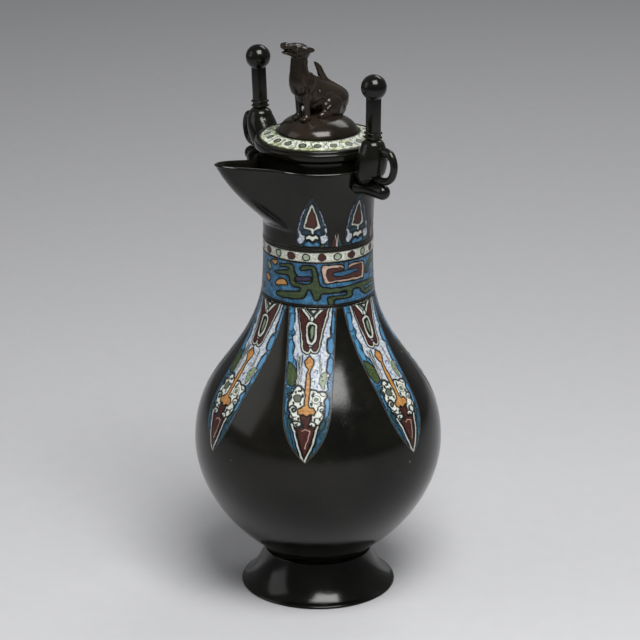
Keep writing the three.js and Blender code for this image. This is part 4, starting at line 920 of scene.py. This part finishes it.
def enamelled(columns, rows, place, flat, drawing, *extra):
    """A sheet of enamel over a curved surface, with its drawing stored at its corners."""
    mesh = bmesh.new()
    bmesh.ops.create_grid(mesh, x_segments=round(columns * FINE), y_segments=round(rows * FINE), size=0.5)
    shares = np.array([(c.co.x + 0.5, c.co.y + 0.5) for c in mesh.verts])
    drawn = drawing(*flat(shares[:, 0], shares[:, 1]), *extra)
    # The enamel colours are darkened by up to half where painted shade lies beside the walls
    tints = np.clip(drawn.colour * (1 - 0.5 * drawn.painted_shade)[:, None], 0, 1)
    colour_layer = mesh.verts.layers.float_color.new("enamel")
    wall_layer = mesh.verts.layers.float.new("wall")
    for corner, (u, v), tint, wall in zip(mesh.verts, shares, tints, drawn.wall):
        corner.co = place(u, v)
        corner[colour_layer] = (*tint, 1)
        corner[wall_layer] = wall
    bmesh.ops.remove_doubles(mesh, verts=mesh.verts, dist=MERGE)
    bmesh.ops.recalc_face_normals(mesh, faces=mesh.faces)
    centres = [(face.normal, face.calc_center_median()) for face in mesh.faces]
    if sum(normal.x * centre.x + normal.y * centre.y for normal, centre in centres) < 0:
        bmesh.ops.reverse_faces(mesh, faces=mesh.faces)
    bmesh.ops.solidify(mesh, geom=list(mesh.faces), thickness=ENAMEL_DEPTH)
    return mesh


SHOULDER = curve(UPPER_CURVE, 400)
SHOULDER_HEIGHTS = np.array([p.y for p in SHOULDER])
SHOULDER_RADII = np.array([p.x for p in SHOULDER])
SHOULDER_STEPS = np.hypot(np.diff(SHOULDER_RADII), np.diff(SHOULDER_HEIGHTS))
SHOULDER_RUN = np.concatenate([[0], np.cumsum(SHOULDER_STEPS)])


def shoulder_run(height):
    return float(np.interp(height, SHOULDER_HEIGHTS, SHOULDER_RUN))


LEAF_TOP_RUN = shoulder_run(LEAF_TOP)


def shoulder_at(drop):
    """Radius and height of the shoulder at a distance down it from the leaves' top edge."""
    run = LEAF_TOP_RUN - drop
    return np.interp(run, SHOULDER_RUN, SHOULDER_RADII), np.interp(run, SHOULDER_RUN, SHOULDER_HEIGHTS)


def body_leaf_half_width(drop, tip):
    height = shoulder_at(drop)[1]
    x = np.clip((LEAF_SHOULDER - height) / (LEAF_SHOULDER - tip), 0, 1)
    return LEAF_HALF_WIDTH * (1 - x ** LEAF_ARCH)


def to_side(half_at, x, along):
    """Distance to a leaf's side, square to it where the leaf narrows to its tip."""
    half = half_at(along)
    slope = (half_at(along + 0.1) - half) / 0.1
    return (half - np.abs(x)) / np.sqrt(1 + slope ** 2)


def body_leaf(azimuth, tip, seed, columns=92, rows=290):
    length = LEAF_TOP_RUN - shoulder_run(tip)
    stretch = (LEAF_TOP_RUN - shoulder_run(DRAWN_TIP)) / length

    def place(u, v):
        drop = v * length
        radius, height = shoulder_at(drop)
        half = float(body_leaf_half_width(drop, tip))
        return on_jug(radius + PROUD, azimuth + math.degrees((2 * u - 1) * half / radius), height)

    def flat(u, v):
        x = (2 * u - 1) * body_leaf_half_width(v * length, tip)
        return x, v * length * stretch, to_side(lambda drop: body_leaf_half_width(drop, tip), x, v * length)

    return enamelled(columns, rows, place, flat, body_leaf_drawing, seed)


def mouth_radius(rise, from_lip):
    x = max(0.0, (rise - LIP_START) / (1 - LIP_START))
    width = LIP_WIDTH + THROAT_EXTRA * (1 - rise)
    bulge = LIP_REACH * math.sin(math.pi / 2 * x) * math.exp(-((from_lip / width) ** 2))
    return NECK_RADIUS + RIM_FLARE * max(rise, 0) ** FLARE_POWER + bulge


def mouth_point(rise, degrees, depth, lift=0.0):
    """A point of the mouth's wall, a depth inside its outer face."""
    from_lip = (degrees + 180) % 360 - 180
    radius = mouth_radius(rise, from_lip)
    change = (mouth_radius(rise, from_lip + 0.25) - mouth_radius(rise, from_lip - 0.25)) / math.radians(0.5)
    length = math.hypot(radius, change)
    angle = math.radians(180 + degrees)
    c, s = math.cos(angle), math.sin(angle)
    height = MOUTH_BASE + rise * (MOUTH_HEIGHT + LIP_RISE * math.exp(-((from_lip / LIP_RISE_WIDTH) ** 2)))
    return Vector((radius * c - depth * (radius * c + change * s) / length,
        radius * s - depth * (radius * s - change * c) / length, height + lift))


def standing_leaf(azimuth, shape, drawing, seed, columns, rows):
    """A leaf or chip of enamel that stands on the neck joint and points up."""
    half_width, length, power = shape

    def half_at(rise):
        return half_width * (1 - np.clip(rise / length, 0, 1) ** power)

    def place(u, v):
        degrees = azimuth + math.degrees((2 * u - 1) * half_at(v * length) / NECK_RADIUS)
        return mouth_point((NECK_LEAF_LIFT + v * length) / MOUTH_HEIGHT, degrees, -PROUD)

    def flat(u, v):
        x = (2 * u - 1) * half_at(v * length)
        return x, v * length, to_side(half_at, x, v * length)

    return enamelled(columns, rows, place, flat, drawing, seed)


def neck_radius(height):
    x = np.clip((height - NECK_BASE) / (NECK_TOP - NECK_BASE), 0, 1)
    return NECK_RADIUS + NECK_FLARE * (1 - x) ** 3


def neck_band(limits, columns, rows, drawing):
    low, high = limits

    def place(u, v):
        height = low + v * (high - low)
        return on_jug(float(neck_radius(height)) + PROUD / 2, VIEW_AZIMUTH - 180 + 360 * u, height)

    def flat(u, v):
        height = low + v * (high - low)
        return (360 * u - 180) * PER_DEGREE, height, np.minimum(height - low, high - height)

    return enamelled(columns, rows, place, flat, drawing)


def lid_ring(columns=700, rows=34):
    def place(u, v):
        radius = RING_OUTER + (RING_INNER - RING_OUTER) * v
        height = MOULDING_TOP + (DECK_TOP - MOULDING_TOP) * v
        return on_jug(radius, VIEW_AZIMUTH - 180 + 360 * u, height + PROUD)

    def flat(u, v):
        inward = v * LID_RING_WIDTH
        return (u - 0.5) * math.tau * LID_RING_MIDDLE, inward, np.minimum(inward, LID_RING_WIDTH - inward)

    return enamelled(columns, rows, place, flat, lid_ring_drawing)


# Turned pieces

def foot():
    outer = curve([FOOT_LIP, FOOT_BEND, (FOOT_TOP_RADIUS, FOOT_HEIGHT)], 40)
    inner = [Vector((p.x - FOOT_WALL, p.y + 1)) for p in outer if PLATE_TOP + 3 < p.y < SOCKET_FLOOR - 2]
    outline = [(STAND_INNER, 0), (FOOT_RADIUS, 0), (FOOT_RADIUS - 0.4, 1.6), *outer,
        (SOCKET_RADIUS, FOOT_HEIGHT), (SOCKET_RADIUS, SOCKET_FLOOR), *reversed(inner),
        (STAND_INNER - 2, PLATE_TOP + 0.3), (STAND_INNER, PLATE_TOP + 0.3), (STAND_INNER, 0)]
    return turned(softened(outline, 0.7))


def base_plate():
    rings = []
    for radius in (47, 34, 21, 8):
        rings += [(radius + 0.8, PLATE_BASE), (radius, PLATE_BASE + 0.5), (radius - 0.8, PLATE_BASE)]
    outline = [(0, PLATE_TOP), (PLATE_RADIUS, PLATE_TOP), (PLATE_RADIUS, PLATE_BASE), *rings,
        (0, PLATE_BASE)]
    return turned(softened(outline, 0.4, 3), 160)


def body():
    outer = curve(LOWER_CURVE, 44)[:-1] + curve(UPPER_CURVE, 60)
    inner = moved_in(curve(LOWER_CURVE, 20), BODY_WALL)[3:-1] + moved_in(curve(UPPER_CURVE, 30), BODY_WALL)
    outline = [(0, SPIGOT_BASE), (SPIGOT_RADIUS, SPIGOT_BASE), (SPIGOT_RADIUS, BODY_BASE),
        (FOOT_TOP_RADIUS - 0.3, BODY_BASE), *outer, *reversed(inner), (0, inner[0].y)]
    return turned(outline)


def neck():
    heights = [NECK_BASE + 0.2, SCROLL_BAND[0] - 0.1, SCROLL_BAND[1] + 0.1, BEAD_BAND[0] - 0.1,
        BEAD_BAND[1] + 0.1, NECK_TOP]
    on_neck = [(float(neck_radius(h)), h) for h in heights]
    rim = 0.2
    spigot_base = NECK_BASE - NECK_SPIGOT_LENGTH
    outline = [(NECK_BORE, spigot_base), (NECK_SPIGOT, spigot_base), (NECK_SPIGOT, NECK_BASE),
        (on_neck[0][0] + rim, NECK_BASE)]
    for (low_radius, low), (high_radius, high) in (on_neck[1:3], on_neck[3:5]):
        outline += [(low_radius + rim, low), (low_radius - GROOVE_DEPTH, low),
            (high_radius - GROOVE_DEPTH, high), (high_radius + rim, high)]
    outline += [(on_neck[5][0] + rim, 269.9), (on_neck[5][0], 270.3), (on_neck[5][0] + rim, NECK_TOP),
        (NECK_BORE, NECK_TOP), (NECK_BORE, spigot_base)]
    return turned(softened(outline, 0.25, 3))


def cord_rise(height):
    """How far the fine cord round the foot of the mouth stands out at a height."""
    return CORD_RISE * math.exp(-(((height - CORD_HEIGHT) / CORD_HALF_WIDTH) ** 2))


def mouth():
    # Narrow faces round the lip and wider ones round the rest
    azimuths = [-36 + 0.6 * i for i in range(120)] + [36 + 1.44 * i for i in range(201)]
    columns = 320
    half = MOUTH_WALL / 2
    section = [(0.05 * i / 14, 0.0, 0.0) for i in range(15)]
    section += [(0.05 + 0.95 * i / 56, 0.0, 0.0) for i in range(1, 56)]
    section += [(1.0, half * (1 - math.cos(math.pi * i / 10)), half * (math.sin(math.pi * i / 10) - 1))
        for i in range(11)]
    section += [(1 - 0.96 * i / 40, MOUTH_WALL, 0.0) for i in range(1, 41)]
    spigot = [(MOUTH_SPIGOT_BORE, MOUTH_BASE), (MOUTH_SPIGOT_BORE, MOUTH_SPIGOT_BASE),
        (MOUTH_SPIGOT, MOUTH_SPIGOT_BASE), (MOUTH_SPIGOT, MOUTH_BASE)]
    rows = len(section) + len(spigot)

    def place(u, v):
        degrees = azimuths[round(u * columns) % columns]
        row = round(v * rows) % rows
        if row >= len(section):
            radius, height = spigot[row - len(section)]
            return on_jug(radius, degrees, height)
        rise, depth, lift = section[row]
        cord = cord_rise(MOUTH_BASE + rise * MOUTH_HEIGHT) if depth == 0 else 0
        return mouth_point(rise, degrees, depth - cord, lift)

    return sheet(columns, rows, place)


def lid_seat():
    outline = [(SEAT_INNER, SEAT_BASE), (SEAT_OUTER, SEAT_BASE), (SEAT_OUTER, SEAT_TOP),
        (SEAT_INNER, SEAT_TOP), (SEAT_INNER, SEAT_BASE)]
    return turned(softened(outline, 0.4, 3), 160)


def lid():
    moulding = [(COLLAR_RADIUS, MOULDING_BASE), (44.0, MOULDING_BASE + 0.5), (45.1, MOULDING_BASE + 2.2),
        (MOULDING_RADIUS, MOULDING_BASE + 4.2), (MOULDING_RADIUS - 0.1, MOULDING_TOP - 2.6),
        (44.4, MOULDING_TOP - 1.9), (44.6, MOULDING_TOP - 1.5), (44.5, MOULDING_TOP - 0.3),
        (43.9, MOULDING_TOP + 0.25), (RING_OUTER + 0.5, MOULDING_TOP + 0.25)]
    outline = [(LID_SPIGOT_BORE, LID_SPIGOT_BASE), (LID_SPIGOT, LID_SPIGOT_BASE),
        (LID_SPIGOT, COLLAR_BASE), (COLLAR_FOOT, COLLAR_BASE), (COLLAR_RADIUS, RIM_HEIGHT), *moulding,
        (RING_OUTER, MOULDING_TOP + 0.1), (RING_OUTER, MOULDING_TOP - GROOVE_DEPTH),
        (RING_INNER, DECK_TOP - GROOVE_DEPTH), (RING_INNER, DECK_TOP + 0.1), (PIN_HOLE, DECK_TOP),
        (PIN_HOLE, LID_INNER_TOP),
        (RING_INNER - 2.6, LID_INNER_TOP), (LID_SPIGOT_BORE, MOULDING_BASE),
        (LID_SPIGOT_BORE, LID_SPIGOT_BASE)]
    return turned(softened(outline, 0.5))


def lid_dome():
    outer = [Vector((p.x, p.y + DOME_BASE)) for p in curve(DOME_CURVE, 60) if p.x > PIN_HOLE]
    inner = [p for p in moved_in(outer, DOME_WALL) if p.y > DOME_BASE + 0.5 and p.x > PIN_HOLE]
    lip = [(DOME_RADIUS - DOME_WALL, DOME_BASE), (DOME_RADIUS - 0.4, DOME_BASE)]
    outline = [*lip, *outer, (PIN_HOLE, DOME_TOP), (PIN_HOLE, inner[-1].y), *reversed(inner), lip[0]]
    return turned(outline)


def finial_pin():
    outline = [(0, PIN_BASE), (PIN_HEAD, PIN_BASE), (PIN_HEAD, PIN_NECK), (PIN_SHANK, PIN_NECK),
        (PIN_SHANK, PIN_TOP), (0, PIN_TOP)]
    return turned(softened(outline, 0.4, 3), 48)


# Posts, bosses, loops and brackets: built upright at the origin, outwards along +X, forwards along +Y

def beside_mouth(mesh, side, lean=False):
    if lean:
        pivot = Vector((0, 0, BOSS_TOP))
        bmesh.ops.rotate(mesh, cent=pivot, matrix=Matrix.Rotation(LEAN_OUT, 3, "Y"), verts=mesh.verts)
        bmesh.ops.rotate(mesh, cent=pivot, matrix=Matrix.Rotation(-LEAN_FORWARD, 3, "X"), verts=mesh.verts)
    bmesh.ops.translate(mesh, vec=(POST_LINE, POST_FORWARD, 0), verts=mesh.verts)
    axes = Matrix(((0, -1, 0, 0), (side, 0, 0, 0), (0, 0, 1, 0), (0, 0, 0, 1)))
    bmesh.ops.transform(mesh, matrix=axes, verts=mesh.verts)
    bmesh.ops.recalc_face_normals(mesh, faces=mesh.faces)
    return mesh


def post(side):
    base = BOSS_TOP + 0.3
    mesh = block(SHAFT_WIDTH, base + 4.4, BALL_CENTRE - 5, 1.0)
    for ridge in (base, base + 3.2):
        block(COLLAR_WIDTH, ridge, ridge + 1.9, 0.8, mesh)
    block(SHAFT_WIDTH, base + 0.8, base + 4.6, 0.6, mesh)
    block(4.2, base - 6, base + 1, 1.2, mesh)
    ball(mesh, 0, 0, BALL_CENTRE, BALL_RADIUS, BALL_RADIUS, BALL_RADIUS, 64)
    ball(mesh, 0, 0, BALL_CENTRE - BALL_RADIUS * 0.76, 5.6, 5.6, 2.2, 40)
    return beside_mouth(mesh, side, True)


def outside_mouth(corner):
    """Moves a boss's corner out of the mouth's bore and into the mouth's wall."""
    if corner.z > MOUTH_BASE + MOUTH_HEIGHT + 0.9:
        return
    rise = (corner.z - MOUTH_BASE) / MOUTH_HEIGHT
    away = math.hypot(corner.x, corner.y)
    degrees = math.degrees(math.atan2(-corner.y, -corner.x))
    least = mouth_radius(min(rise, 1), (degrees + 180) % 360 - 180) - 1.2
    if away < least:
        corner.x, corner.y = corner.x * least / away, corner.y * least / away


def boss(label, side):
    inset, height = -BOSS_INSET[label], BOSS_TOP - BOSS_BASE
    rows = [(0.4, -0.04, 0.70), (0.9, 0.10, 0.86), (1.0, 0.24, 0.98), (0.6, 0.40, 1.02), (0.25, 0.56, 1.0),
        (0.05, 0.72, 0.92), (0.0, 0.88, 0.76), (0.0, 1.02, 0.66)]
    stations = [(inset * k, 0, BOSS_BASE + share * height, r * BOSS_RADIUS, r * BOSS_RADIUS)
        for k, share, r in rows]
    mesh = beside_mouth(limb(stations, 60, 64), side)
    for corner in mesh.verts:
        outside_mouth(corner.co)
    return mesh


def loop(label, side):
    tube = LOOP_TUBE[label]
    reach = LOOP_REACH[label] - tube
    route = [(6.0, 10.2, 1.3), (0.6 * reach, 9.9, 1.18), (0.82 * reach, 9.0, 1.08),
        (0.97 * reach, 4.6, 1.0), (reach, -1.0, 0.98), (0.88 * reach, -7.5, 0.98),
        (0.6 * reach, -11.0, 0.98), (2.2, -11.0, 0.92), (0.0, -10.6, 0.85)]
    stations = [(out, 0, LOOP_MIDDLE + up, r * tube, r * tube) for out, up, r in route]
    return beside_mouth(limb(stations, 90, 32), side)


def bracket(side):
    stations = [(-17.0, 7.8), (-13.0, 6.6), (-9.0, 5.7), (-4.0, 5.2), (2.0, 5.1), (7.0, 5.2), (11.0, 5.2),
        (15.1, 4.8)]
    mesh = limb([(out, 0, BRACKET_HEIGHT, r, r) for out, r in stations], 60, 40)
    return beside_mouth(mesh, side)


# The seated beast: places are forwards, sideways and up from the top of the dome

def beast_limb(mesh, stations, rings=24, sides=20):
    limb([(-f, s, DOME_TOP + u, a, b) for f, s, u, a, b in stations], rings, sides, mesh)


def beast_ball(mesh, forward, side, up, rx, ry, rz):
    ball(mesh, -forward, side, DOME_TOP + up, rx, ry, rz, 20)


BEAST_MARKS = [
    # Face: eyes, brow, cheek curls, mouth and nostril
    ([(25.2, 49.5)], 1.5, 0.9), ([(23.0, 47.3)], 1.2, 0.5),
    ([(25.5, 53.7), (23.9, 53.0), (22.1, 52.0)], 0.9, 0.6),
    ([(21.9, 51.4), (20.4, 50.0)], 1.0, 0.5), ([(17.3, 50.6), (14.4, 49.3), (11.3, 48.3)], 1.0, 0.5),
    ([(34.5, 51.0), (29.0, 50.2), (25.6, 48.6), (24.0, 46.4)], 0.8, -1.3), ([(31.7, 54.2)], 1.2, 0.6),
    ([(34.0, 55.0)], 1.0, 0.6), ([(32.9, 53.1)], 0.6, -0.7), ([(28.6, 53.7), (30.3, 52.9)], 0.7, 0.4),
    ([(19.0, 46.4), (17.6, 48.2), (19.0, 49.6), (21.0, 48.8), (20.4, 47.2)], 0.55, -0.6),
    # Mane and shoulder
    ([(11.4, 44.0), (13.6, 40.0), (12.0, 36.0)], 0.7, -0.6),
    ([(14.8, 43.0), (16.6, 38.6), (15.0, 34.0)], 0.7, -0.6),
    ([(19.4, 30.0), (18.0, 27.3), (16.0, 23.4)], 1.3, 0.6), ([(9.7, 19.5), (11.7, 17.4)], 1.2, 0.5),
    ([(21.0, 22.0), (19.0, 15.0), (18.6, 8.0)], 0.6, -0.5),
    # Haunch: the curl on it and the spur behind
    ([(9.3, 7.9), (8.0, 9.5), (5.8, 10.9), (2.8, 12.3), (0.2, 9.8), (-1.9, 7.9), (0.1, 6.2)], 0.8, -0.7),
    ([(4.6, 9.0)], 1.6, 0.7), ([(-8.7, 7.1), (-11.0, 4.6), (-9.8, 3.1)], 1.1, 0.6),
    ([(-14.0, 12.0), (-8.0, 15.5), (-1.0, 15.0)], 0.7, -0.6)]


def carve(mesh, marks):
    """Raises or sinks the flanks along lines drawn on the beast's side view."""
    mesh.normal_update()
    forward = np.array([-corner.co.x for corner in mesh.verts])
    up = np.array([corner.co.z - DOME_TOP for corner in mesh.verts])
    facing = np.clip(np.abs([corner.normal.y for corner in mesh.verts]) * 1.8 - 0.2, 0, 1)
    change = np.zeros(len(facing))
    for points, width, rise in marks:
        nearest = np.full(len(facing), 99.0)
        for (ax, ay), (bx, by) in zip(points, points[1:] or points):
            dx, dy = bx - ax, by - ay
            share = np.clip(((forward - ax) * dx + (up - ay) * dy) / max(dx * dx + dy * dy, 1e-9), 0, 1)
            nearest = np.minimum(nearest, np.hypot(forward - ax - share * dx, up - ay - share * dy))
        change += rise * facing * np.exp(-((nearest / width) ** 2))
    for corner, amount in zip(mesh.verts, change):
        corner.co += corner.normal * amount


def rest_on_dome(mesh):
    """Lifts whatever is sunk deep in the dome up to just under its skin."""
    dome = curve(DOME_CURVE, 200)
    radii, heights = [p.x for p in reversed(dome)], [p.y + DOME_BASE for p in reversed(dome)]
    for corner in mesh.verts:
        away = math.hypot(corner.co.x, corner.co.y)
        if away < DOME_RADIUS:
            corner.co.z = max(corner.co.z, float(np.interp(away, radii, heights)) - 0.5)


def beast():
    mesh = bmesh.new()
    beast_limb(mesh, [(-28, 0, 5.0, 3.5, 4), (-20, 0, 6.6, 7.6, 8.6), (-10, 0, 9.0, 8.8, 11.2),
        (2, 0, 14.0, 8.4, 11.6), (10.5, 0, 19, 7.6, 11.4), (17, 0, 22, 6.3, 8)], 36, 36)
    beast_ball(mesh, -12, 0, 2, 13, 9.5, 9)
    beast_limb(mesh, [(14.5, 0, 17, 7, 7), (17.4, 0, 25, 7.2, 7.8), (17.9, 0, 34, 6.1, 6.9),
        (17.6, 0, 43, 5.6, 6.2), (17.6, 0, 50, 4.6, 5.0)], 32, 32)
    beast_limb(mesh, [(10, 0, 45, 4, 3.2), (14.5, 0, 46.6, 6.3, 5.6), (20, 0, 48.4, 6.4, 5.6),
        (25.5, 0, 50.3, 5.2, 4.6)], 24, 28)
    beast_limb(mesh, [(21, 0, 50, 5, 4), (29, 0, 52.2, 4.2, 2.6), (33.5, 0, 53.2, 3.4, 1.5)], 20, 24)
    beast_limb(mesh, [(20, 0, 45.5, 4.6, 3), (27, 0, 47.4, 3.6, 1.7), (33, 0, 49.2, 2.4, 0.9)], 20, 24)
    beast_ball(mesh, 30.6, 0, 53.7, 3.2, 3.2, 2.4)
    beast_limb(mesh, [(-27.8, 0, 5, 2.2, 3), (-24.5, 0, 10.6, 2.1, 3.2), (-16, 0, 16.2, 1.9, 3.2),
        (-7.5, 0, 21.6, 1.8, 3.2), (-3.2, 0, 27.6, 2.1, 2.9), (-0.6, 0, 33.0, 1.9, 2.3),
        (4.2, 0, 38.6, 1.0, 1.0)], 44, 16)
    for side in (-1, 1):
        beast_limb(mesh, [(21, side * 3.4, 50.4, 2, 2.6), (16, side * 6.2, 49.4, 1.9, 2.6),
            (9.3, side * 7, 48.2, 0.8, 1.1)])
        beast_limb(mesh, [(13.5, side * 4.6, 20, 3.2, 4.4), (14.6, side * 4.5, 10, 2.1, 2.4),
            (13.6, side * 4.4, 0, 2.2, 2.3)])
        beast_ball(mesh, 14.8, side * 4.5, -0.6, 3.8, 2.8, 2.9)
        for toe in (-1.7, 0, 1.7):
            beast_ball(mesh, 18.0, side * 4.5 + toe, -0.9, 1.7, 1.1, 1.6)
        beast_ball(mesh, -7, side * 7.6, 4.5, 9.5, 4.2, 9)
        beast_ball(mesh, 1.0, side * 8.4, 0.2, 6.2, 3.2, 3.6)
        beast_ball(mesh, 12.5, side * 4.6, 24, 5.6, 3.6, 9)
    mesh = fused(mesh, 0.42 / FINE)
    for _ in range(4):
        bmesh.ops.smooth_vert(mesh, verts=mesh.verts, factor=0.5, use_axis_x=True, use_axis_y=True,
            use_axis_z=True)
    carve(mesh, BEAST_MARKS)
    rest_on_dome(mesh)
    return mesh


# Pieces of the jug

for node, mesh in (("foot", foot()), ("base_plate", base_plate()), ("body", body()), ("neck", neck()),
        ("mouth", mouth()), ("lid_seat", lid_seat())):
    piece(f"jug_{node}", mesh, "jug", [node], dark_bronze)
piece("scroll_band_enamel", neck_band(SCROLL_BAND, 620, 76, scroll_band_drawing), "jug", ["scroll_band"],
    band_enamel, False)
piece("bead_band_enamel", neck_band(BEAD_BAND, 720, 22, bead_band_drawing), "jug", ["bead_band"],
    white_enamel, False)
for number, (azimuth, tip) in enumerate(BODY_LEAVES, 1):
    piece(f"body_leaf_enamel_{number}", body_leaf(azimuth, tip, number), "jug", [f"body_leaf_{number}"],
        leaf_enamel, False)
for number, azimuth in enumerate(NECK_LEAVES, 1):
    leaf = standing_leaf(azimuth, NECK_LEAF, neck_leaf_drawing, 20 + number, 80, 130)
    piece(f"neck_leaf_enamel_{number}", leaf, "jug", [f"neck_leaf_{number}"], leaf_enamel,
        False)
for number, (azimuth, following) in enumerate(zip(NECK_LEAVES, NECK_LEAVES[1:]), 1):
    chip = standing_leaf((azimuth + following) / 2, NECK_CHIP, neck_chip_drawing, 30 + number, 30, 48)
    piece(f"neck_chip_enamel_{number}", chip, "jug", [f"neck_chip_{number}"], leaf_enamel,
        False)
for label, side in (("near", -1), ("far", 1)):
    piece(f"ball_post_{label}", post(side), "jug", [f"post_{label}"], dark_bronze)
    piece(f"pear_boss_{label}", boss(label, side), "jug", [f"boss_{label}"], dark_bronze)
    piece(f"side_loop_{label}", loop(label, side), "jug", [f"loop_{label}"], dark_bronze)
    piece(f"knob_bracket_{label}", bracket(side), "jug", [f"bracket_{label}"], dark_bronze)
piece("turned_lid", lid(), "lid", ["lid"], dark_bronze)
piece("lid_ring_enamel", lid_ring(), "lid", ["lid_enamel"], white_enamel, False)
piece("brown_dome", lid_dome(), "lid", ["lid_dome"], brown_bronze)
piece("rivet_pin", finial_pin(), "lid", ["finial_pin"], brown_bronze)
piece("seated_beast", beast(), "lid", ["finial_beast"], brown_bronze)


# Floor, lamps and camera

def floor():
    mesh = bmesh.new()
    bmesh.ops.create_circle(mesh, cap_ends=True, segments=96, radius=9.0)
    data = bpy.data.meshes.new("floor")
    mesh.to_mesh(data)
    mesh.free()
    made = bpy.data.objects.new("floor", data)
    bpy.context.scene.collection.objects.link(made)
    paper = Finish("grey_paper", Roughness=0.9, Specular_IOR_Level=0.1)
    grain = paper.noise(60, 4, 0.6)
    paper.drive(Base_Color=paper.mix(grain, (0.52, 0.52, 0.53), (0.56, 0.56, 0.57)))
    data.materials.append(paper.material)


def soft_box(name, azimuth, elevation, distance, width, height, power, target=(0, 0, 0.2)):
    """A square lamp, placed by the direction it shines from; azimuth 0 is the camera's side."""
    lamp = bpy.data.lights.new(name, "AREA")
    lamp.shape, lamp.size, lamp.size_y, lamp.energy = "RECTANGLE", width, height, power
    made = bpy.data.objects.new(name, lamp)
    bpy.context.scene.collection.objects.link(made)
    turn = math.radians(azimuth - 90 - CAMERA_TURN)
    up = math.radians(elevation)
    away = Vector((math.cos(up) * math.cos(turn), math.cos(up) * math.sin(turn), math.sin(up)))
    made.location = Vector(target) + away * distance
    made.rotation_euler = away.to_track_quat("Z", "Y").to_euler()


CAMERA_PLACE, CAMERA_TURN, CAMERA_TILT = (-1.1936, -1.3349, 0.8251), 41.8, 70.9
CAMERA_LENS, SENSOR_WIDTH, SIDE_SHIFT = 146.25, 36, 2 / 640
floor()
soft_box("key_box", 18, 60, 1.5, 0.85, 0.85, 31)
soft_box("left_box", -80, 25, 2.2, 1.2, 1.4, 6)
soft_box("back_box", 150, 45, 2.4, 1.2, 0.8, 10)

world = bpy.data.worlds.new("grey_room")
bpy.context.scene.world = world
world.use_nodes = True
background = world.node_tree.nodes["Background"]
background.inputs["Color"].default_value = (0.9, 0.92, 0.95, 1)
background.inputs["Strength"].default_value = 0.17

camera = bpy.data.cameras.new("camera")
camera.lens, camera.sensor_width, camera.shift_x = CAMERA_LENS, SENSOR_WIDTH, SIDE_SHIFT
camera_object = bpy.data.objects.new("camera", camera)
bpy.context.scene.collection.objects.link(camera_object)
camera_object.location = CAMERA_PLACE
camera_object.rotation_euler = (math.radians(CAMERA_TILT), 0, math.radians(-CAMERA_TURN))
bpy.context.scene.camera = camera_object
bpy.context.scene.view_settings.view_transform = "Standard"
